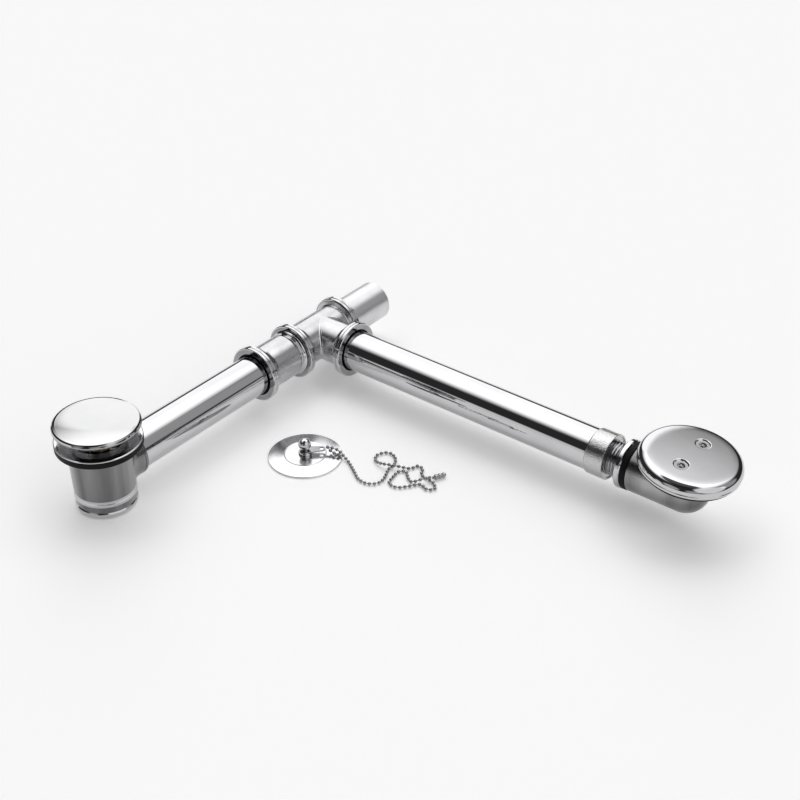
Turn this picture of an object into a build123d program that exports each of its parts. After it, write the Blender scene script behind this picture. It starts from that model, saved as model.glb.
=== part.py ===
"""Bath waste and overflow set: pop-up waste, tee, tail pipe, overflow head, and a plug on a bead chain.

The origin is the centre of the waste's base on the floor, +Z runs up the waste's axis,
the waste tube runs along +Y to the tee and the overflow tube along +X from the tee.
"""
import os
from math import cos, radians, sin

from build123d import *

os.makedirs("parts", exist_ok=True)

# Driving dimensions in millimetres
# Tubes and the fittings that they slip into
TUBE_OD = 38.0
TUBE_WALL = 1.2
SLIP = 0.1
SEAT_GAP = 0.3
FITTING_WALL = 1.8
BORE_STEP = 0.3

# Layout, measured between axes
AXIS_HEIGHT = 34.4
WASTE_REACH = 275.5
OVERFLOW_REACH = 399.0
TAIL_REACH = 84.4
TAIL_MARK = 0.5
TAIL_MARK_DEPTH = 0.3

# Slip nuts and the bells that they screw on
NUT_LENGTH = 6.6
NUT_FACE = 2.0
NUT_WALL = 2.3
NUT_GAP = 1.6
NUT_CHAMFER = 0.5
NUT_GROOVE = 0.9
NUT_GROOVE_WIDTH = 1.3
BELL_RISE = 3.1
BELL_LIP = 1.2
BELL_SPIGOT = 2.6
BELL_FLARE = 5.0
OUTLET_FLARE = 1.2
THREAD_GAP = 0.15

# Tee legs and the sleeve coupling, measured from the tee's centre
INLET_NUT_AT = 34.2
OUTLET_NUT_AT = 24.7
BRANCH_NUT_AT = 39.9
LEG_STOP = 19.4
TEE_FILLET = 2.5
BRANCH_EASE = 0.4
COUPLING_NUT_AT = 84.6
COUPLING_STOP = 56.0
COUPLING_SHOULDER_AT = 47.0
COUPLING_FLARE = 9.0
COUPLING_BEAD = 3.4
COUPLING_BEAD_RISE = 3.2

# Waste shoe and its base cap
SHOE_TOP = 59.6
SHOE_TOP_R = 27.7
SHOE_FOOT_R = 26.2
SHOE_THREAD_R = 25.0
SHOE_BORE_R = 22.9
SHOE_SOCKET_WALL = 2.2
SHOE_SOCKET_STAND = 5.6
SHOE_SOCKET_DEPTH = 7.3
SHOE_SEAM_BACK = 3.8
SHOE_SEAM = 0.6
SHOE_FILLET = 3.0
SHOE_RIM = 0.6
SHOE_LEAD = 1.0
SHOE_BEAD = 3.8
SHOE_BEAD_RISE = 0.6
BASE_HEIGHT = 12.0
BASE_FLOOR = 3.8
BASE_WALL = 1.6
BASE_BEAD = 0.4
BASE_GROOVE = 0.9
BASE_SEAL = 2.2

# Waste flange, its washer and the spider that carries the plunger
FLANGE_R = 37.1
FLANGE_LIP = 1.2
WASHER_THICK = 5.7
WASHER_BORE_R = 26.6
WASHER_EASE = 0.8
DISH_R = 31.5
DISH_DEPTH = 1.6
DISH_WALL = 1.3
TAIL_WALL = 2.9
TAIL_LENGTH = 12.0
SPIDER_ARMS = 4
SPIDER_ARM = 3.0
SPIDER_HEIGHT = 6.0
SPIDER_BOSS_R = 9.0

# Pop-up stopper
STOPPER_LIFT = 10.5
CAP_CLEAR = 1.1
CAP_R = 37.2
CAP_EDGE = 3.9
CAP_CROWN = 4.5
CAP_SKIN = 2.0
CAP_BOSS_R = 14.0
CAP_BOSS_DROP = 1.9
SEAL_R = 21.0
SEAL_THICK = 3.4
RETAINER_R = 19.0
RETAINER_THICK = 1.6
PLUNGER_R = 4.4
PLUNGER_COLLAR_R = 7.0
PLUNGER_COLLAR = 1.5
PLUNGER_FOOT = 3.3
PLUNGER_RUN = 0.2
FOOT_RUN = 0.15
STOP_GAP = 0.1
STUD_DEPTH = 5.0
BARREL_WALL = 1.5
BARREL_HEAD = 3.4
BARREL_LIP = 2.4
BARREL_FLOOR = 2.0
BARREL_HEAD_RIM = 1.8
BARREL_DRAIN_R = 1.5
SPRING_SOLID = 8.5
SPRING_WIRE = 0.9
SPRING_TURNS = 6

# Overflow sleeve, threaded neck and collar, measured back from the overflow head's axis
SLEEVE_BACK = 87.4
SLEEVE_END_BACK = 69.4
SLEEVE_SEAT_BACK = 78.0
SLEEVE_WALL = 1.4
SLEEVE_CHAMFER = 1.0
SLEEVE_RECESS = 1.2
SLEEVE_RIM = 1.4
SLEEVE_END_WALL = 4.0
NECK_R = 15.2
NECK_WALL = 2.5
NECK_THREAD = 1.1
NECK_PITCH = 2.8
NECK_RIDGES = 4
COLLAR_BACK = 57.8
COLLAR_R = 21.8
COLLAR_LENGTH = 5.6
COLLAR_CHAMFER = 1.1
RING_R = 21.2
RING_LENGTH = 5.6
NECK_ENGAGE = 10.0

# Overflow elbow head, canted to the slope of the bath's end
CANT = 6.5
FACE_RISE = 19.8
HEAD_FLANGE_R = 36.0
HEAD_FLANGE = 2.5
HEAD_BELL_R = 24.0
HEAD_BELL = 6.0
HEAD_MOUTH_R = 14.0
HEAD_MOUTH = 9.0
GASKET_R = 41.2
GASKET_BORE_R = 29.0
GASKET_THICK = 3.0

# Overflow plate and its two screws
PLATE_R = 43.7
PLATE_HEIGHT = 12.3
PLATE_SHEET = 1.5
PLATE_ROUND = 7.0
PLATE_TUCK = 0.9
PLATE_LIP = 2.4
NOTCH_WIDTH = 30.0
NOTCH_HEIGHT = 7.0
SCREW_SPAN = 35.4
SCREW_R = 2.4
SCREW_HEAD_R = 4.2
SCREW_HEAD = 2.2
SCREW_ENGAGE = 6.5
SCREW_GAP = 0.15
SCREW_SLOT = 1.0
DIMPLE_R = 6.4
DIMPLE_DEPTH = 2.6

# Loose plug, its knob, hasp and bead chain
PLUG_X = 90.3
PLUG_Y = 151.8
PLUG_R = 33.3
PLUG_SEAL_R = 21.0
PLUG_SEAL_BORE_R = 16.5
PLUG_SEAL = 2.2
PLUG_SKIN = 1.1
PLUG_RISE = 1.8
PLUG_STEP_R = 19.0
PLUG_STEP = 0.5
KNOB_BALL_R = 5.7
KNOB_NECK_R = 3.0
KNOB_NECK = 1.6
KNOB_COLLAR_R = 6.0
KNOB_COLLAR = 2.0
KNOB_WAIST_R = 4.9
KNOB_STUD_R = 2.2
HASP_REACH = 14.6
HASP_HEADING = 43.6
HASP_THICK = 1.0
HASP_RIM = 2.0
HASP_EYE_R = 2.0
HASP_EYE_RIM = 1.4
BEAD_R = 1.6
BEAD_LENGTH = 2.9
BEAD_CHAMFER = 0.7
BEAD_SIDES = 6
BEAD_PITCH = 4.4
BEAD_GAP = 0.4
LINK_R = 0.5
TIP_R = 2.4
TIP_LENGTH = 13.0
TIP_RIBS = 3

# Sizes that follow from those above
TUBE_R = TUBE_OD / 2
TUBE_BORE_R = TUBE_R - TUBE_WALL
SOCKET_R = TUBE_R + SLIP
FITTING_R = SOCKET_R + FITTING_WALL
WATER_R = TUBE_BORE_R - BORE_STEP
SPIGOT_R = FITTING_R + BELL_RISE
BELL_R = SPIGOT_R + BELL_LIP
NUT_THREAD_R = SPIGOT_R + THREAD_GAP
NUT_R = NUT_THREAD_R + NUT_WALL
NUT_BORE_R = TUBE_R + NUT_GAP
TEE = Vector(0, WASTE_REACH, AXIS_HEIGHT)
UP = Vector(0, 0, 1)
TO_WASTE = Vector(0, -1, 0)
TO_TAIL = Vector(0, 1, 0)
TO_OVERFLOW = Vector(1, 0, 0)


def pipe_section(axial):
    """Section plane on a pipe axis through the tee: x is the radius, y the distance from the tee."""
    return Plane(origin=TEE, x_dir=UP, z_dir=UP.cross(axial))


def pipe_axis(axial):
    """The axis that the pieces on that pipe are turned about."""
    return Axis(TEE, axial)


def pipe_plane(axial, distance):
    """Plane square to a pipe axis, at a distance from the tee, facing outwards."""
    return Plane(origin=TEE + axial * distance, x_dir=UP, z_dir=axial)


# Waste shoe: a tapered turned pot with a short side socket
SHOE_SPIGOT_R = SHOE_BORE_R + BASE_WALL
SHOE_RIM_TOP = SHOE_TOP + SHOE_RIM
SHOE_SOCKET_REACH = SHOE_TOP_R + SHOE_SOCKET_STAND
SHOE_SOCKET_SEAT = SHOE_SOCKET_REACH - SHOE_SOCKET_DEPTH
SHOE_SEAM_AT = SHOE_SOCKET_REACH - SHOE_SEAM_BACK
SHOE_END = BASE_FLOOR + BASE_SEAL
SHOE_SOCKET_R = SOCKET_R + SHOE_SOCKET_WALL
TAIL_BOTTOM = SHOE_TOP - TAIL_LENGTH
SHOE_AXIS = Plane(origin=(0, 0, AXIS_HEIGHT), x_dir=(1, 0, 0), z_dir=(0, 1, 0))

with BuildPart() as waste_shoe:
    with BuildSketch(Plane.XZ):
        with BuildLine():
            Polyline(
                (0, SHOE_END),
                (SHOE_SPIGOT_R, SHOE_END),
                (SHOE_SPIGOT_R, BASE_HEIGHT),
                (SHOE_FOOT_R, BASE_HEIGHT),
                (SHOE_TOP_R, SHOE_TOP),
                (SHOE_TOP_R, SHOE_RIM_TOP),
                (0, SHOE_RIM_TOP),
                close=True,
            )
        make_face()
    revolve(axis=Axis.Z)
    with BuildSketch(SHOE_AXIS):
        Circle(SHOE_SOCKET_R)
    extrude(amount=SHOE_SOCKET_REACH)
    junction = waste_shoe.edges().filter_by(
        lambda edge: edge.geom_type not in (GeomType.CIRCLE, GeomType.LINE)
    )
    fillet(junction, radius=SHOE_FILLET)
    mouth = waste_shoe.faces().sort_by(Axis.Y)[-1]
    fillet(mouth.edges(), radius=SHOE_SOCKET_WALL * 0.8)
    with BuildSketch(Plane.XZ):
        with BuildLine():
            Polyline(
                (SHOE_SPIGOT_R, BASE_HEIGHT),
                (SHOE_FOOT_R + SHOE_BEAD_RISE, BASE_HEIGHT),
                (SHOE_FOOT_R + SHOE_BEAD_RISE, BASE_HEIGHT + SHOE_BEAD * 0.7),
                (SHOE_FOOT_R, BASE_HEIGHT + SHOE_BEAD),
                (SHOE_SPIGOT_R, BASE_HEIGHT + SHOE_BEAD),
                close=True,
            )
        make_face()
    revolve(axis=Axis.Z)
    with BuildSketch(SHOE_AXIS.offset(SHOE_SEAM_AT)):
        Circle(SHOE_SOCKET_R)
        Circle(SHOE_SOCKET_R - SHOE_SEAM, mode=Mode.SUBTRACT)
    extrude(amount=SHOE_SEAM, mode=Mode.SUBTRACT)
    with BuildSketch(Plane.XZ):
        with BuildLine():
            Polyline(
                (0, SHOE_END),
                (SHOE_BORE_R, SHOE_END),
                (SHOE_BORE_R, TAIL_BOTTOM - 1),
                (SHOE_THREAD_R, TAIL_BOTTOM - 1),
                (SHOE_THREAD_R, SHOE_RIM_TOP - SHOE_LEAD),
                (SHOE_THREAD_R + SHOE_LEAD, SHOE_RIM_TOP),
                (0, SHOE_RIM_TOP),
                close=True,
            )
        make_face()
    revolve(axis=Axis.Z, mode=Mode.SUBTRACT)
    with BuildSketch(SHOE_AXIS):
        Circle(WATER_R)
    extrude(amount=SHOE_SOCKET_REACH, mode=Mode.SUBTRACT)
    with BuildSketch(SHOE_AXIS.offset(SHOE_SOCKET_SEAT)):
        Circle(SOCKET_R)
    extrude(amount=SHOE_SOCKET_REACH - SHOE_SOCKET_SEAT, mode=Mode.SUBTRACT)
waste_shoe.part.label = "waste_shoe"
export_step(waste_shoe.part, "parts/waste_shoe.step")

# Base cap: a beaded cup that closes the shoe's foot
BASE_BORE_R = SHOE_SPIGOT_R + THREAD_GAP
BASE_RIM_R = SHOE_FOOT_R + BASE_BEAD
BASE_GROOVE_R = BASE_RIM_R - BASE_GROOVE

with BuildPart() as shoe_base_cap:
    with BuildSketch(Plane.XZ):
        with BuildLine():
            Polyline(
                (0, BASE_FLOOR),
                (0, 0),
                (BASE_RIM_R - BASE_HEIGHT / 5, 0),
                (BASE_RIM_R, BASE_HEIGHT / 5),
                (BASE_RIM_R, BASE_HEIGHT * 0.45),
                (BASE_GROOVE_R, BASE_HEIGHT * 0.52),
                (BASE_GROOVE_R, BASE_HEIGHT),
                (BASE_BORE_R, BASE_HEIGHT),
                (BASE_BORE_R, BASE_FLOOR),
                close=True,
            )
        make_face()
    revolve(axis=Axis.Z)
shoe_base_cap.part.label = "shoe_base_cap"
export_step(shoe_base_cap.part, "parts/shoe_base_cap.step")

# Flat ring that seals the base cap against the shoe's end
with BuildPart() as shoe_base_seal:
    with BuildSketch(Plane.XY.offset(BASE_FLOOR)):
        Circle(SHOE_SPIGOT_R)
        Circle(SHOE_BORE_R - BASE_WALL, mode=Mode.SUBTRACT)
    extrude(amount=BASE_SEAL)
shoe_base_seal.part.label = "shoe_base_seal"
export_step(shoe_base_seal.part, "parts/shoe_base_seal.step")

# Waste flange: a dished rim, a threaded tail and a spider with a boss
FLANGE_SEAT = SHOE_TOP + WASHER_THICK
FLANGE_TOP = FLANGE_SEAT + FLANGE_LIP
TAIL_R = SHOE_THREAD_R - SLIP
TAIL_BORE_R = TAIL_R - TAIL_WALL
SEAT_BORE_R = DISH_R + DISH_WALL
DISH_FOOT_R = TAIL_BORE_R + 0.5
BARREL_BORE_R = PLUNGER_R + PLUNGER_RUN + 0.4
BARREL_R = BARREL_BORE_R + BARREL_WALL
BOSS_TOP = TAIL_BOTTOM + SPIDER_HEIGHT

with BuildPart() as waste_flange:
    with BuildSketch(Plane.XZ):
        with BuildLine():
            Polyline(
                (TAIL_BORE_R, TAIL_BOTTOM),
                (TAIL_R, TAIL_BOTTOM),
                (TAIL_R, SHOE_TOP),
                (SEAT_BORE_R, FLANGE_SEAT),
                (FLANGE_R, FLANGE_SEAT),
                (FLANGE_R, FLANGE_TOP - FLANGE_LIP / 3),
                (FLANGE_R - FLANGE_LIP / 2, FLANGE_TOP),
                (DISH_R, FLANGE_TOP - FLANGE_LIP / 6),
                (DISH_FOOT_R, FLANGE_TOP - DISH_DEPTH),
                (TAIL_BORE_R, FLANGE_TOP - DISH_DEPTH - 1),
                close=True,
            )
        make_face()
    revolve(axis=Axis.Z)
    with BuildSketch(Plane.XY.offset(TAIL_BOTTOM)):
        Circle(SPIDER_BOSS_R)
        with PolarLocations(0, SPIDER_ARMS, start_angle=45):
            with Locations((TAIL_BORE_R / 2, 0)):
                Rectangle(TAIL_BORE_R + TAIL_WALL, SPIDER_ARM)
        Circle(BARREL_R + SLIP, mode=Mode.SUBTRACT)
    extrude(amount=SPIDER_HEIGHT)
waste_flange.part.label = "waste_flange"
export_step(waste_flange.part, "parts/waste_flange.step")

# Rubber washer, shaped to the underside of the flange's dish
DISH_SLOPE = WASHER_THICK / (SEAT_BORE_R - TAIL_R)
WASHER_INNER_TOP = SHOE_TOP + (WASHER_BORE_R - TAIL_R) * DISH_SLOPE - SEAT_GAP

with BuildPart() as flange_washer:
    with BuildSketch(Plane.XZ):
        with BuildLine():
            Polyline(
                (WASHER_BORE_R, SHOE_RIM_TOP),
                (SHOE_TOP_R + WASHER_EASE, SHOE_RIM_TOP),
                (SHOE_TOP_R + WASHER_EASE, SHOE_TOP),
                (FLANGE_R, SHOE_TOP),
                (FLANGE_R, FLANGE_SEAT),
                (SEAT_BORE_R + SEAT_GAP / DISH_SLOPE, FLANGE_SEAT),
                (WASHER_BORE_R, WASHER_INNER_TOP),
                close=True,
            )
        make_face()
    revolve(axis=Axis.Z)
flange_washer.part.label = "flange_washer"
export_step(flange_washer.part, "parts/flange_washer.step")

# Pop-up stopper, drawn raised: a domed cap with a threaded boss
CAP_Z = FLANGE_TOP + CAP_CLEAR + STOPPER_LIFT
CAP_SHOULDER_Z = CAP_Z + CAP_EDGE
CAP_SHOULDER_R = CAP_R - CAP_EDGE / 2
CAP_TOP = CAP_SHOULDER_Z + CAP_CROWN
CAP_UNDER = CAP_SHOULDER_Z - CAP_SKIN
SEAL_TOP = CAP_Z - CAP_BOSS_DROP
STUD_TOP = SEAL_TOP + STUD_DEPTH
STUD_BORE_R = PLUNGER_R + SLIP

with BuildPart() as stopper_cap:
    with BuildSketch(Plane.XZ):
        with BuildLine():
            crown = ThreePointArc(
                (0, CAP_TOP),
                (CAP_SHOULDER_R / 2, CAP_TOP - CAP_CROWN / 4),
                (CAP_SHOULDER_R, CAP_SHOULDER_Z),
            )
            edge_round = ThreePointArc(
                crown @ 1,
                (CAP_R - CAP_EDGE / 7, CAP_Z + CAP_EDGE * 0.6),
                (CAP_R, CAP_Z + CAP_EDGE / 5),
            )
            Polyline(
                edge_round @ 1,
                (CAP_R - CAP_EDGE / 8, CAP_Z),
                (CAP_R - CAP_SKIN, CAP_Z),
                (CAP_SHOULDER_R - CAP_SKIN / 2, CAP_UNDER),
                (CAP_BOSS_R, CAP_UNDER),
                (CAP_BOSS_R, SEAL_TOP),
                (STUD_BORE_R, SEAL_TOP),
                (STUD_BORE_R, STUD_TOP + SLIP),
                (0, STUD_TOP + SLIP),
                (0, CAP_TOP),
            )
        make_face()
    revolve(axis=Axis.Z)
stopper_cap.part.label = "stopper_cap"
export_step(stopper_cap.part, "parts/stopper_cap.step")

# Rubber seal under the cap
SEAL_BOTTOM = SEAL_TOP - SEAL_THICK

with BuildPart() as stopper_seal:
    with BuildSketch(Plane.XY.offset(SEAL_BOTTOM)):
        Circle(SEAL_R)
        Circle(STUD_BORE_R, mode=Mode.SUBTRACT)
    extrude(amount=SEAL_THICK)
stopper_seal.part.label = "stopper_seal"
export_step(stopper_seal.part, "parts/stopper_seal.step")

# Metal disc that backs the seal
RETAINER_BOTTOM = SEAL_BOTTOM - RETAINER_THICK

with BuildPart() as seal_retainer:
    with BuildSketch(Plane.XY.offset(RETAINER_BOTTOM)):
        Circle(RETAINER_R)
        Circle(STUD_BORE_R, mode=Mode.SUBTRACT)
    extrude(amount=RETAINER_THICK)
seal_retainer.part.label = "seal_retainer"
export_step(seal_retainer.part, "parts/seal_retainer.step")

# Plunger: stud in the cap, collar under the retainer, rod, and a foot inside the barrel
BARREL_TOP = BOSS_TOP + BARREL_HEAD
FOOT_TOP = BARREL_TOP - BARREL_LIP - STOP_GAP
FOOT_BOTTOM = FOOT_TOP - PLUNGER_FOOT
FOOT_R = BARREL_BORE_R - FOOT_RUN

with BuildPart() as stopper_plunger:
    with BuildSketch(Plane.XZ):
        with BuildLine():
            Polyline(
                (0, FOOT_BOTTOM),
                (FOOT_R, FOOT_BOTTOM),
                (FOOT_R, FOOT_TOP),
                (PLUNGER_R, FOOT_TOP),
                (PLUNGER_R, RETAINER_BOTTOM - PLUNGER_COLLAR),
                (PLUNGER_COLLAR_R, RETAINER_BOTTOM - PLUNGER_COLLAR),
                (PLUNGER_COLLAR_R, RETAINER_BOTTOM),
                (PLUNGER_R, RETAINER_BOTTOM),
                (PLUNGER_R, STUD_TOP),
                (0, STUD_TOP),
                close=True,
            )
        make_face()
    revolve(axis=Axis.Z)
stopper_plunger.part.label = "stopper_plunger"
export_step(stopper_plunger.part, "parts/stopper_plunger.step")

# Barrel of the push mechanism, hung in the spider's boss by its head
SPRING_SEAT = FOOT_BOTTOM - STOPPER_LIFT - SPRING_SOLID
BARREL_BOTTOM = SPRING_SEAT - BARREL_FLOOR

with BuildPart() as plunger_barrel:
    with BuildSketch(Plane.XZ):
        with BuildLine():
            Polyline(
                (BARREL_DRAIN_R, BARREL_BOTTOM),
                (BARREL_R, BARREL_BOTTOM),
                (BARREL_R, BOSS_TOP),
                (BARREL_R + BARREL_HEAD_RIM, BOSS_TOP),
                (BARREL_R + BARREL_HEAD_RIM, BARREL_TOP),
                (PLUNGER_R + PLUNGER_RUN, BARREL_TOP),
                (PLUNGER_R + PLUNGER_RUN, BARREL_TOP - BARREL_LIP),
                (BARREL_BORE_R, BARREL_TOP - BARREL_LIP),
                (BARREL_BORE_R, SPRING_SEAT),
                (BARREL_DRAIN_R, SPRING_SEAT),
                close=True,
            )
        make_face()
    revolve(axis=Axis.Z)
plunger_barrel.part.label = "plunger_barrel"
export_step(plunger_barrel.part, "parts/plunger_barrel.step")

# Return spring of flat wire, between the barrel's floor and the plunger's foot
SPRING_R = BARREL_BORE_R - SPRING_WIRE
SPRING_LOW = SPRING_SEAT + SPRING_WIRE / 2 + STOP_GAP
SPRING_RISE = FOOT_BOTTOM - SPRING_SEAT - SPRING_WIRE - 2 * STOP_GAP

with BuildPart() as plunger_spring:
    with BuildLine() as coil:
        Helix(
            pitch=SPRING_RISE / SPRING_TURNS,
            height=SPRING_RISE,
            radius=SPRING_R,
            center=(0, 0, SPRING_LOW),
        )
    with BuildSketch(Plane(origin=coil.line @ 0, x_dir=UP, z_dir=coil.line % 0)):
        Rectangle(SPRING_WIRE, SPRING_WIRE)
    sweep(is_frenet=True)
plunger_spring.part.label = "plunger_spring"
export_step(plunger_spring.part, "parts/plunger_spring.step")

# Waste tube, from the shoe's socket to the sleeve coupling
WASTE_TUBE_FROM = COUPLING_STOP + SEAT_GAP
WASTE_TUBE_TO = WASTE_REACH - SHOE_SOCKET_SEAT - SEAT_GAP

with BuildPart() as waste_tube:
    with BuildSketch(pipe_plane(TO_WASTE, WASTE_TUBE_FROM)):
        Circle(TUBE_R)
        Circle(TUBE_BORE_R, mode=Mode.SUBTRACT)
    extrude(amount=WASTE_TUBE_TO - WASTE_TUBE_FROM)
waste_tube.part.label = "waste_tube"
export_step(waste_tube.part, "parts/waste_tube.step")

# Sleeve coupling: a flared socket for the waste tube and a spigot for the tee
COUPLING_SPIGOT_END = LEG_STOP + SEAT_GAP
COUPLING_BEAD_AT = INLET_NUT_AT + NUT_LENGTH + SEAT_GAP
COUPLING_BEAD_R = TUBE_R + COUPLING_BEAD_RISE

with BuildPart() as slip_coupling:
    with BuildSketch(pipe_section(TO_WASTE)):
        with BuildLine():
            spigot = Polyline(
                (WATER_R, COUPLING_STOP),
                (WATER_R, COUPLING_SPIGOT_END),
                (TUBE_R, COUPLING_SPIGOT_END),
                (TUBE_R, COUPLING_BEAD_AT),
                (COUPLING_BEAD_R, COUPLING_BEAD_AT),
                (COUPLING_BEAD_R, COUPLING_BEAD_AT + COUPLING_BEAD * 0.3),
                (TUBE_R + COUPLING_BEAD_RISE * 0.7, COUPLING_BEAD_AT + COUPLING_BEAD * 0.7),
                (TUBE_R, COUPLING_BEAD_AT + COUPLING_BEAD),
                (TUBE_R, COUPLING_SHOULDER_AT),
                (FITTING_R, COUPLING_SHOULDER_AT + FITTING_WALL),
                (FITTING_R, COUPLING_NUT_AT - COUPLING_FLARE),
            )
            trumpet = TangentArc(spigot @ 1, (BELL_R, COUPLING_NUT_AT), tangent=(0, 1))
            Polyline(
                trumpet @ 1,
                (SPIGOT_R, COUPLING_NUT_AT),
                (SPIGOT_R, COUPLING_NUT_AT + BELL_SPIGOT),
                (SOCKET_R, COUPLING_NUT_AT + BELL_SPIGOT),
                (SOCKET_R, COUPLING_STOP),
                (WATER_R, COUPLING_STOP),
            )
        make_face()
    revolve(axis=pipe_axis(TO_WASTE))
slip_coupling.part.label = "slip_coupling"
export_step(slip_coupling.part, "parts/slip_coupling.step")

# Tee: three flared legs, rounded where they meet, bored through
TEE_LEGS = [
    (TO_WASTE, INLET_NUT_AT, FITTING_R, BELL_FLARE),
    (TO_TAIL, OUTLET_NUT_AT, FITTING_R, OUTLET_FLARE),
    (TO_OVERFLOW, BRANCH_NUT_AT, FITTING_R - BRANCH_EASE, BELL_FLARE),
]

with BuildPart() as tee_body:
    for axial, nut_at, leg_r, flare in TEE_LEGS:
        with BuildSketch(pipe_section(axial)):
            with BuildLine():
                Polyline(
                    (0, 0),
                    (leg_r, 0),
                    (leg_r, nut_at - flare),
                    (BELL_R, nut_at),
                    (SPIGOT_R, nut_at),
                    (SPIGOT_R, nut_at + BELL_SPIGOT),
                    (0, nut_at + BELL_SPIGOT),
                    close=True,
                )
            make_face()
        revolve(axis=pipe_axis(axial))
    crotch = tee_body.edges().filter_by(
        lambda edge: edge.geom_type not in (GeomType.CIRCLE, GeomType.LINE)
    )
    fillet(crotch, radius=TEE_FILLET)
    for axial, nut_at, leg_r, flare in TEE_LEGS:
        with BuildSketch(pipe_plane(axial, 0)):
            Circle(WATER_R)
        extrude(amount=nut_at, mode=Mode.SUBTRACT)
    for axial, nut_at, leg_r, flare in TEE_LEGS:
        with BuildSketch(pipe_plane(axial, LEG_STOP)):
            Circle(SOCKET_R)
        extrude(amount=nut_at + BELL_SPIGOT - LEG_STOP, mode=Mode.SUBTRACT)
tee_body.part.label = "tee_body"
export_step(tee_body.part, "parts/tee_body.step")

# Slip nuts: grooved rings with a flat face, each squeezing a rubber washer on its bell
SLIP_JOINTS = {
    "coupling": (TO_WASTE, COUPLING_NUT_AT),
    "tee_inlet": (TO_WASTE, INLET_NUT_AT),
    "tee_outlet": (TO_TAIL, OUTLET_NUT_AT),
    "tee_branch": (TO_OVERFLOW, BRANCH_NUT_AT),
}
NUT_BACK_R = NUT_R - NUT_CHAMFER / 2
NUT_GROOVE_R = NUT_R - NUT_GROOVE
GROOVE_AT = NUT_LENGTH / 2 - NUT_GROOVE_WIDTH / 2

for place, (axial, nut_at) in SLIP_JOINTS.items():
    with BuildPart() as slip_nut:
        with BuildSketch(pipe_section(axial)):
            with BuildLine():
                Polyline(
                    (NUT_THREAD_R, nut_at),
                    (NUT_BACK_R - NUT_CHAMFER, nut_at),
                    (NUT_BACK_R, nut_at + NUT_CHAMFER),
                    (NUT_BACK_R, nut_at + GROOVE_AT),
                    (NUT_GROOVE_R, nut_at + GROOVE_AT + NUT_GROOVE_WIDTH / 4),
                    (NUT_GROOVE_R, nut_at + GROOVE_AT + NUT_GROOVE_WIDTH * 3 / 4),
                    (NUT_R, nut_at + GROOVE_AT + NUT_GROOVE_WIDTH),
                    (NUT_R, nut_at + NUT_LENGTH - NUT_CHAMFER),
                    (NUT_R - NUT_CHAMFER, nut_at + NUT_LENGTH),
                    (NUT_BORE_R, nut_at + NUT_LENGTH),
                    (NUT_BORE_R, nut_at + NUT_LENGTH - NUT_FACE),
                    (NUT_THREAD_R, nut_at + NUT_LENGTH - NUT_FACE),
                    close=True,
                )
            make_face()
        revolve(axis=pipe_axis(axial))
    slip_nut.part.label = f"{place}_nut"
    export_step(slip_nut.part, f"parts/{place}_nut.step")

    with BuildPart() as slip_washer:
        with BuildSketch(pipe_plane(axial, nut_at + BELL_SPIGOT)):
            Circle(SPIGOT_R)
            Circle(SOCKET_R, mode=Mode.SUBTRACT)
        extrude(amount=NUT_LENGTH - NUT_FACE - BELL_SPIGOT)
    slip_washer.part.label = f"{place}_washer"
    export_step(slip_washer.part, f"parts/{place}_washer.step")

# Tail pipe, from the tee's outlet to the trap
TAIL_FROM = LEG_STOP + SEAT_GAP
TAIL_MARK_AT = OUTLET_NUT_AT + NUT_LENGTH + TAIL_MARK

with BuildPart() as tail_pipe:
    with BuildSketch(pipe_plane(TO_TAIL, TAIL_FROM)):
        Circle(TUBE_R)
        Circle(TUBE_BORE_R, mode=Mode.SUBTRACT)
    extrude(amount=TAIL_REACH - TAIL_FROM)
    chamfer(tail_pipe.faces().sort_by(Axis.Y)[-1].edges(), length=TUBE_WALL / 3)
    with BuildSketch(pipe_plane(TO_TAIL, TAIL_MARK_AT)):
        Circle(TUBE_R + SLIP)
        Circle(TUBE_R - TAIL_MARK_DEPTH, mode=Mode.SUBTRACT)
    extrude(amount=TAIL_MARK, mode=Mode.SUBTRACT)
tail_pipe.part.label = "tail_pipe"
export_step(tail_pipe.part, "parts/tail_pipe.step")

# Overflow tube, from the tee's branch to the sleeve
OVERFLOW_TUBE_FROM = LEG_STOP + SEAT_GAP
SLEEVE_AT = OVERFLOW_REACH - SLEEVE_BACK
SLEEVE_END = OVERFLOW_REACH - SLEEVE_END_BACK
SLEEVE_SEAT = OVERFLOW_REACH - SLEEVE_SEAT_BACK
OVERFLOW_TUBE_TO = SLEEVE_SEAT - SEAT_GAP

with BuildPart() as overflow_tube:
    with BuildSketch(pipe_plane(TO_OVERFLOW, OVERFLOW_TUBE_FROM)):
        Circle(TUBE_R)
        Circle(TUBE_BORE_R, mode=Mode.SUBTRACT)
    extrude(amount=OVERFLOW_TUBE_TO - OVERFLOW_TUBE_FROM)
overflow_tube.part.label = "overflow_tube"
export_step(overflow_tube.part, "parts/overflow_tube.step")

# Sleeve on the overflow tube's end, with a recessed end wall threaded for the neck
SLEEVE_R = SOCKET_R + SLEEVE_WALL
NECK_HOLE_R = NECK_R + SLIP
SLEEVE_FACE = SLEEVE_END - SLEEVE_RECESS
SLEEVE_WALL_AT = SLEEVE_FACE - SLEEVE_END_WALL

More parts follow.
